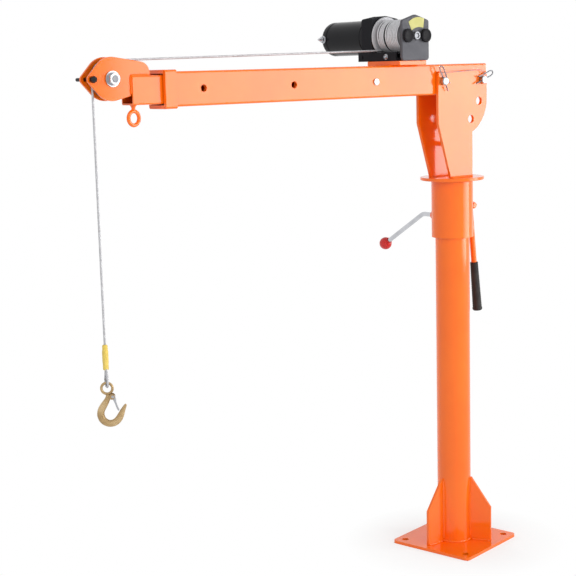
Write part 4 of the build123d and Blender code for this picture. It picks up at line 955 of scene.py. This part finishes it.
def motor():
    centre = at(WINCH)
    rim, neck = MOTOR_R, MOTOR_R - 0.0012
    section = [(MOTOR_OUT, 0), (MOTOR_OUT, rim), (MOTOR_OUT - 0.010, rim), (MOTOR_OUT - 0.011, neck)]
    section += [(MOTOR_OUT - 0.0135, neck), (MOTOR_OUT - 0.0145, rim)]
    section += [(MOTOR_END + 0.004, rim), (MOTOR_END + 0.003, neck), (MOTOR_END, neck), (MOTOR_END, 0)]
    can = turned("motor_shell", section, centre, Y, 96)
    dress(soften(can, 0.0005, 2), MOTOR_BLACK, "boom", "motor_can")
    section = [(MOTOR_END, 0), (MOTOR_END, rim - 0.0006), (MOTOR_END - 0.002, rim)]
    section += [(CAP_END + 0.010, rim), (CAP_END + 0.0042, rim - 0.0022), (CAP_END + 0.0012, rim - 0.0062)]
    section += [(CAP_END, rim - 0.012), (CAP_END, 0.014), (CAP_END + 0.0016, 0.012), (CAP_END + 0.0016, 0)]
    cap = turned("motor_lid", section, centre, Y, 96)
    dress(soften(cap, 0.0006, 2, 25), MOTOR_BLACK, "boom", "motor_end_cap", angle=40)
    places = [centre + toward(turn) * 0.030 + Y * (CAP_END + 0.0008) for turn in (45, 225)]
    screws = [hexagon("motor_screw", place, -Y, 0.008, 0.0032, 0.0007) for place in places]
    dress(join(*screws), ZINC, "boom")


def terminals():
    studs = []
    section = [(0, 0), (0, 0.004), (0.0150, 0.004), (0.0198, 0.0014), (0.0198, 0)]
    for out in (-X, X):
        flat = at(WINCH, MOTOR_END - 0.010) + out * (MOTOR_R - 0.0008)
        studs.append(turned("terminal_stud", section, flat, out, 32))
        studs.append(washer("terminal_washer", flat + out * 0.0006, out, 0.0100, 0.004, 0.0022))
        studs.append(hexagon("terminal_nut", flat + out * 0.0026, out, 0.014, 0.0062, 0.001))
        for along in (0.0096, 0.0114, 0.0132):
            studs.append(washer("stud_thread", flat + out * along, out, 0.0043, 0.0036, 0.0010))
    dress(join(*studs), CHROME, "boom", "motor_terminals")


def clutch():
    centre = at(WINCH)
    middle, tilt = centre + Vector((-0.004, 0, 0.026)), -8.5
    outline = []
    for half, level, bulge, way in ((0.0265, 0.01075, 0.007, 1), (0.01975, -0.01075, 0.0045, -1)):
        for step in range(-8, 9):
            share = step / 8
            up = level + bulge * (1 - share ** 2)
            place = middle + toward(tilt) * (way * half * share) + toward(tilt + 90) * up
            outline.append((place.x, place.z))
    dial = plate("clutch_sector", outline, GEAR_OUT, GEAR_OUT + 0.0008)
    dress(soften(dial, 0.0003, 2), DIAL_YELLOW, "boom", "clutch_dial")

    back, front = GEAR_OUT + 0.0016, GEAR_OUT + 0.0090
    web, flat = back + 0.0035, front - 0.001
    lobe_r, offset, half_bar = 0.0165, 0.030, 0.008
    low = (WINCH[0] - offset, back, WINCH[1] - half_bar)
    knob = slab("clutch_grip", low, (WINCH[0] + offset, web, WINCH[1] + half_bar))
    section = [(back, 0), (back, lobe_r - 0.0012), (back + 0.002, lobe_r), (front - 0.002, lobe_r)]
    section += [(front - 0.0005, lobe_r - 0.0016), (front, lobe_r - 0.0045)]
    section += [(flat, lobe_r - 0.0072), (flat, 0)]
    weld(knob, *(turned("lobe", section, centre + out * offset, Y, 56) for out in (-X, X)))
    cut(knob, bar("drill", centre + Y * 0.06, centre + Y * 0.09, 0.0052))
    dress(soften(knob, 0.0006, 2, 30), KNOB_BLACK, "clutch", "clutch_knob", angle=40)
    section = [(0.0585, 0), (0.0585, 0.005), (web - 0.001, 0.005), (web - 0.001, 0.0098)]
    section += [(web + 0.0008, 0.010), (web + 0.0016, 0.0092), (web + 0.0016, 0.0060)]
    section += [(web + 0.0004, 0.0054), (web - 0.0008, 0.0048), (web - 0.0008, 0)]
    hub = turned("clutch_hub_ring", section, centre, Y, 56)
    dress(soften(hub, 0.0004, 2, 25), STEEL, "clutch", "clutch_hub")


def drum():
    near, far, shaft = 0.042, -0.038, 0.013
    flange, collar_r, barrel, journal = 0.049, 0.039, 0.023, 0.017
    section = [(far - shaft, 0), (far - shaft, journal), (far, journal), (far, flange - 0.001)]
    section += [(far + 0.001, flange), (far + 0.003, flange), (far + 0.004, flange - 0.001)]
    section += [(far + 0.004, barrel), (near - 0.004, barrel), (near - 0.0015, collar_r), (near, collar_r)]
    section += [(near, journal), (near + shaft, journal), (near + shaft, 0)]
    piece = turned("winch_spool", section, at(WINCH), Y, 96)
    dress(soften(piece, 0.0004, 2), SPOOL_GREY, "drum", "winch_drum")


# Rope


def winding():
    """Rope wound in a lower layer and an upper one, which lies in two runs with a gap between."""
    per_turn = 16
    swell = 1 / math.cos(math.pi / per_turn) ** 2

    def turns(name, count, place):
        points = []
        for number in range(count * per_turn + 1):
            turn = number / per_turn
            y, radius = place(turn)
            points.append(at(WINCH, y) + toward(-90 - 360 * turn) * radius * swell)
        return rope(name, smooth_line(points, 4), 0.92 * ROPE_D)

    def lower(turn):
        return ROPE_EXIT_Y + 0.0056 * turn, WOUND_R

    def upper(turn):
        swing = min(max((turn - 0.5) / 0.35, 0), 1)
        cross = min(max((turn - 4.3) / 0.5, 0), 1)
        sink = min(max(0.5 - turn, 0), 0.5)
        y = ROPE_EXIT_Y - 0.0018 + 0.0070 * swing + 0.0055 * max(turn - 0.85, 0) + 0.0056 * cross
        return y, WOUND_R + 0.0050 - 0.007 * sink

    wound = join(turns("rope_turns", 11, lower), turns("rope_top_turns", 12, upper))
    # Its finish paints shade deep down between the turns
    dress(wound, WOUND_WIRE, "drum", "rope_winding", angle=80)
    near, far, count, barrel, edge = 0.036, -0.034, 12, 0.0231, 0.0298
    section = [(far, barrel), (far, edge)]
    for number in range(count):
        y = far + (near - far) * (number + 0.5) / count
        section += [(y - 0.0022, 0.0288), (y, 0.0301), (y + 0.0022, 0.0288)]
    section += [(near, edge), (near, barrel)]
    core = turned("rope_under_turns", section, at(WINCH), Y, 72)
    dress(core, WIRE, "drum", "rope_core", angle=60)


def sheave_arc(first):
    """The rope's line round the sheave, from an angle in degrees down to its front."""
    count = max(3, math.ceil(first / 15))
    swell = 1 / math.cos(math.radians(first / count / 2)) ** 2
    points = []
    for number in range(count + 1):
        radius = SHEAVE_PITCH_R * (swell if 0 < number < count else 1)
        points.append(at(AXLE) + toward(first - first * number / count) * radius)
    return smooth_line(points, 8)


def straight(start, end, steps):
    return smooth_line([start, start.lerp(end, 0.3), start.lerp(end, 0.7), end], steps)


def rope_runs():
    """The rope from the drum to the sheave and over it, and a spare bend for when the boom is raised."""
    dx, dz = AXLE[0] - WINCH[0], AXLE[1] - WINCH[1]
    slope = math.asin((WOUND_R + SHEAVE_PITCH_R) / math.hypot(dx, dz)) + math.atan2(dz, dx)
    turn = 90 + math.degrees(slope)
    normal = toward(turn)
    leave_at = at(WINCH, ROPE_EXIT_Y) - normal * WOUND_R
    meet_at = at(AXLE) + normal * SHEAVE_PITCH_R
    along = (meet_at - leave_at).normalized()
    start, end = leave_at - along * 0.002, meet_at + along * 0.0005
    line = straight(start, end, 140)
    top = rope("rope_along_boom", line)
    hold(top)
    bpy.ops.object.shade_smooth()
    top.data.materials.append(WIRE)
    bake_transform(top)
    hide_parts("rope_top_run")

    over = sheave_arc(turn)
    bend = rope("rope_on_sheave", over)
    dress(bend, WIRE, "extension", "rope_over_sheave", angle=80)
    spare = rope("rope_on_sheave_spare", sheave_arc(46), ROPE_D * 0.94)
    dress(spare, WIRE, "line", angle=80)


# Hook and its rope end

TO_HOOK = Matrix.Translation(HOOK_EYE) @ turn_z(HOOK_TURN)
TO_LOOP = TO_HOOK @ turn_z(LOOP_TWIST)


def hook_line():
    """The hanging rope with the sleeve, rope eye and thimble at its end."""
    low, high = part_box("rope_drop")
    x = AXLE[0] + SHEAVE_PITCH_R
    start, end = Vector((x, 0, high[2])), Vector((x, 0, low[2]))
    line = straight(start, end, 110)
    drop = rope("rope_to_hook", line)
    dress(drop, WIRE, "line", "rope_drop", angle=80)
    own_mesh(drop)

    low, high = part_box("rope_sleeve")
    height = high[2] - low[2]
    section = [(low[2], 0.001), (low[2], 0.0056)]
    swells = ((0.03, 0.0063), (0.26, 0.0062), (0.29, 0.0067), (0.74, 0.00675), (0.78, 0.0061), (0.96, 0.0059))
    section += [(low[2] + height * share, radius) for share, radius in swells]
    section += [(high[2], 0.0046), (high[2], 0.001)]
    sleeve = soften(turned("rope_ferrule_sleeve", section, (HOOK_EYE[0], 0, 0), Z, 48), 0.0006, 2, 15)
    dress(sleeve, SLEEVE_YELLOW, "hook_block", "rope_sleeve", angle=60)

    half = [(0.0036, 0.0455), (0.0046, 0.039), (0.0092, 0.0295)]
    half += [(0.0132, 0.0204), (0.0128, 0.0092), (0.0066, 0.0039)]
    loop = [(0, y, z) for y, z in half] + [(0, 0, 0.0042)] + [(0, -y, z) for y, z in reversed(half)]
    eye = rope("rope_eye_loop", smooth_line(loop, 8))
    eye.data.transform(TO_LOOP)
    dress(eye, WIRE, "hook_block", "rope_eye", angle=80)
    rim = 0.00325
    section = [(-rim, 0.0092), (-rim, 0.0098), (-0.0024, 0.0092), (0, 0.00895), (0.0024, 0.0092)]
    section += [(rim, 0.0098), (rim, 0.0092), (0.0026, 0.0083), (0, 0.0080), (-0.0026, 0.0083)]
    thimble = turned("rope_thimble", section, (0, 0, 0.01579), X, 56)
    thimble.data.transform(TO_LOOP)
    dress(thimble, ZINC, "hook_block", "thimble", angle=50)


def drawn(name, rings):
    """A bar drawn out ring by ring."""
    count = len(rings[0])
    clear()
    bpy.ops.mesh.primitive_circle_add(vertices=count, radius=1, fill_type="NGON")
    piece = settle(name)
    for vertex, place in zip(piece.data.vertices, rings[0]):
        vertex.co = place
    edit(piece, "FACE")
    for before, after in zip(rings, rings[1:]):
        bpy.ops.mesh.extrude_region_move()
        leave()
        for vertex in piece.data.vertices:
            if vertex.select:
                nearest = min(range(count), key=lambda index: (vertex.co - before[index]).length)
                vertex.co = after[nearest]
        bpy.ops.object.mode_set(mode="EDIT")
    edit(piece, "FACE")
    bpy.ops.mesh.normals_make_consistent(inside=False)
    leave()
    return piece


def hook():
    """A forged hook: stations down its back, round its bowl and up its horn, each an oval, in millimetres."""
    stations = [(2.6, -12, 5.4, 5.0), (2.2, -20, 5.4, 5.2), (-1.8, -28, 6.4, 5.6), (-8.0, -37.2, 7.6, 6.0)]
    stations += [(-13.8, -46, 8.0, 6.4), (-16.6, -55.6, 8.2, 6.5), (-14.6, -66.6, 8.6, 6.6)]
    stations += [(-7.4, -75.4, 8.3, 6.6), (4.7, -79.4, 8.0, 6.6), (16.5, -75.7, 8.2, 6.6)]
    stations += [(24.7, -66.4, 7.8, 6.2), (29.0, -56.9, 6.7, 5.6), (33.0, -48.2, 5.0, 4.8)]
    stations += [(36.8, -41.2, 3.7, 4.0), (40.0, -35.2, 2.3, 2.6)]
    sides, swell = 12, 1.05
    rings = []
    for index, (u, z, wide, thick) in enumerate(stations):
        before, after = stations[max(index - 1, 0)], stations[min(index + 1, len(stations) - 1)]
        heading = Vector((after[0] - before[0], 0, after[1] - before[1])).normalized()
        across = Vector((-heading.z, 0, heading.x))
        ring = []
        for number in range(sides):
            turn = 2 * math.pi * number / sides
            side = across * (wide * swell * math.cos(turn)) + Y * (thick * swell * math.sin(turn))
            ring.append((Vector((u, 0, z)) + side) * 0.001)
        rings.append(ring)
    body = change(drawn("forged_hook", rings), "SUBSURF", levels=2, render_levels=2)
    weld(body, torus("eye", (0, 0, 0), 0.012, 0.0029, 56))
    half, ear_r = 0.0062, 0.0064
    section = [(-half, 0), (-half, 0.0058), (-0.0055, ear_r), (0.0055, ear_r), (half, 0.0058), (half, 0)]
    weld(body, turned("ear", section, (0.0105, 0, LATCH_PIVOT.z), Y, 32))
    cut(body, slab("slot", (0.0072, -0.0047, -0.028), (0.022, 0.0047, -0.0105)))
    soften(body, 0.0006, 2, 45)
    body.data.transform(TO_HOOK)
    dress(body, GOLD, "hook", "lifting_hook", angle=60)
    side = [(0.0060, 0.002), (0.0064, 0.0032), (0.0070, 0.0022), (0.0070, 0)]
    section = [(-along, radius) for along, radius in reversed(side)] + side
    pin = turned("latch_rivet", section, LATCH_PIVOT, Y, 28)
    pin.data.transform(TO_HOOK)
    dress(pin, ZINC, "hook", "latch_pin")


def latch():
    """A sprung sheet gate with a rolled eye and a lip that rests inside the horn."""
    fall = -71.5
    shape = [(0.0, 0.0040), (0.006, 0.0036), (0.015, 0.0016), (0.028, 0.0014), (0.0325, 0.0022)]
    shape += [(0.0335, 0.0006), (0.0325, -0.0006), (0.028, -0.0014), (0.015, -0.0014), (0.006, -0.0022)]
    shape += [(0.002, -0.0038), (-0.002, -0.0036), (-0.0040, -0.0012), (-0.0036, 0.0022)]
    places = [LATCH_PIVOT + toward(fall) * along + toward(fall + 90) * up for along, up in shape]
    piece = plate("hook_gate", [(place.x, place.z) for place in places], -0.0043, 0.0043)
    drill(piece, LATCH_PIVOT.x, LATCH_PIVOT.z, 0.00205, 24)
    soften(piece, 0.0004, 2, 25)
    piece.data.transform(TO_HOOK)
    dress(piece, ZINC, "latch", "hook_latch", angle=40)


# Plain inner pieces keep their solids and get a finish


def inner_pieces():
    solids = {
        ORANGE: ("post_cap", "pivot_sleeve"),
        NYLON: ("thrust_washer", "swivel_bushes", "lock_pad", "slide_pads"),
        BRONZE: ("drum_bushes", "sheave_bush"),
    }
    for finish, names in solids.items():
        for name in names:
            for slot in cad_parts[name].material_slots:
                slot.material = finish


for build in (base_plate, post, gussets, collar, cheeks, tie_bar, pins, clips, handle, lock_lever, boom,
              extension, sheave_plates, sheave_wheel, axle_set, keeper_set, tip_eye, winch_mount, gear_case,
              motor_bracket, motor, terminals, clutch, drum, winding, rope_runs, hook_line, hook, latch,
              inner_pieces):
    build()

# Camera, light and floor


def camera():
    azimuth, pitch, roll = 141.421, 9.173, -1.519
    lens = bpy.data.cameras.new("camera")
    lens.sensor_fit = "HORIZONTAL"
    lens.sensor_width = 36
    lens.lens = 84.906
    lens.clip_end = 100
    eye = bpy.data.objects.new("camera", lens)
    facing = turn_z(azimuth) @ Matrix.Rotation(math.radians(90 - pitch), 4, "X") @ turn_z(roll)
    eye.matrix_world = Matrix.Translation((2.5393, 2.4881, 1.2724)) @ facing
    bpy.context.scene.collection.objects.link(eye)
    bpy.context.scene.camera = eye


def lamp(name, place, target, width, height, power, spread=180, mirrored=True):
    """A flat lamp aimed at a target. A lamp that isn't mirrored leaves no bright spot in gloss and metal."""
    light = bpy.data.lights.new(name, "AREA")
    light.shape = "RECTANGLE"
    light.size, light.size_y = width, height
    light.energy = power
    light.spread = math.radians(spread)
    holder = bpy.data.objects.new(name, light)
    holder.visible_glossy = mirrored
    aim = Vector(target) - Vector(place)
    holder.matrix_world = Matrix.Translation(place) @ aim.to_track_quat("-Z", "Y").to_matrix().to_4x4()
    bpy.context.scene.collection.objects.link(holder)


def seen(tree):
    """White for what the eye sees straight on, in a mirror or through glass."""
    path = node(tree, "LightPath", {})
    direct = calc(tree, "MAXIMUM", path["Is Camera Ray"], path["Is Glossy Ray"])
    return calc(tree, "MAXIMUM", direct, path["Is Transmission Ray"])


def sky():
    """White all round to the eye and in reflections, with a lower light from it on the crane."""
    world = bpy.data.worlds.new("studio")
    bpy.context.scene.world = world
    world.use_nodes = True
    tree = world.node_tree
    back = tree.nodes["Background"].inputs
    back["Color"].default_value = (1, 1, 1, 1)
    strength = calc(tree, "MULTIPLY_ADD", seen(tree), 1.0 - WORLD_LIGHT, WORLD_LIGHT)
    tree.links.new(strength, back["Strength"])


def floor():
    """A white floor that glows to the eye but keeps the shadow round the base plate. Under the plate it is
    painted near black, a painted shadow.
    """
    clear()
    bpy.ops.mesh.primitive_plane_add(size=30, location=(0, 0, 0))
    piece = settle("studio_floor")
    sheet = bpy.data.materials.new("studio_floor_white")
    sheet.use_nodes = True
    tree = sheet.node_tree
    shader = tree.nodes["Principled BSDF"]
    shader.inputs["Roughness"].default_value = 0.9
    square = coords(tree, Rotation=(0, 0, -math.radians(PLATE_TURN)))
    parts = node(tree, "SeparateXYZ", {"Vector": square})
    reach = calc(tree, "MAXIMUM", calc(tree, "ABSOLUTE", parts["X"]), calc(tree, "ABSOLUTE", parts["Y"]))
    # Painted shadow: the floor's colour is near black under the base plate and near white beyond it
    bare = calc(tree, "GREATER_THAN", reach, PLATE_HALF - 0.002)
    tree.links.new(calc(tree, "MULTIPLY_ADD", bare, 0.93, 0.02), shader.inputs["Base Color"])
    away = node(tree, "VectorMath", {0: coords(tree)}, operation="LENGTH")["Value"]
    limits = {"From Min": 0.12, "From Max": 0.30, "To Min": 0.6}
    fade = node(tree, "MapRange", {"Value": away, **limits})["Result"]
    share = calc(tree, "MULTIPLY", calc(tree, "MULTIPLY", fade, bare), seen(tree))
    glow = node(tree, "Emission", {})[0]
    surface = node(tree, "MixShader", {"Fac": share, 1: shader.outputs[0], 2: glow})[0]
    tree.links.new(surface, tree.nodes["Material Output"].inputs["Surface"])
    piece.data.materials.append(sheet)


camera()
sky()
floor()
lamp("side_softbox", (-2.0, 2.55, 1.25), (0.83, 0, 1.2), 2.6, 1.9, 13, 70)
lamp("side_key", (-2.6, 2.4, 1.45), (0.3, 0, 1.0), 0.35, 0.35, 22, mirrored=False)
lamp("fill", (0.3, 3.4, 1.5), (0, 0, 0.6), 1.0, 1.0, 36, mirrored=False)
lamp("front_softbox", (3.2, 1.4, 2.6), (0.3, 0, 0.9), 1.6, 1.6, 36, mirrored=False)
lamp("back_fill", (0.1, -3.3, 1.6), (0.2, 0, 0.7), 1.0, 1.0, 30, mirrored=False)
bpy.context.scene.view_settings.view_transform = "Standard"
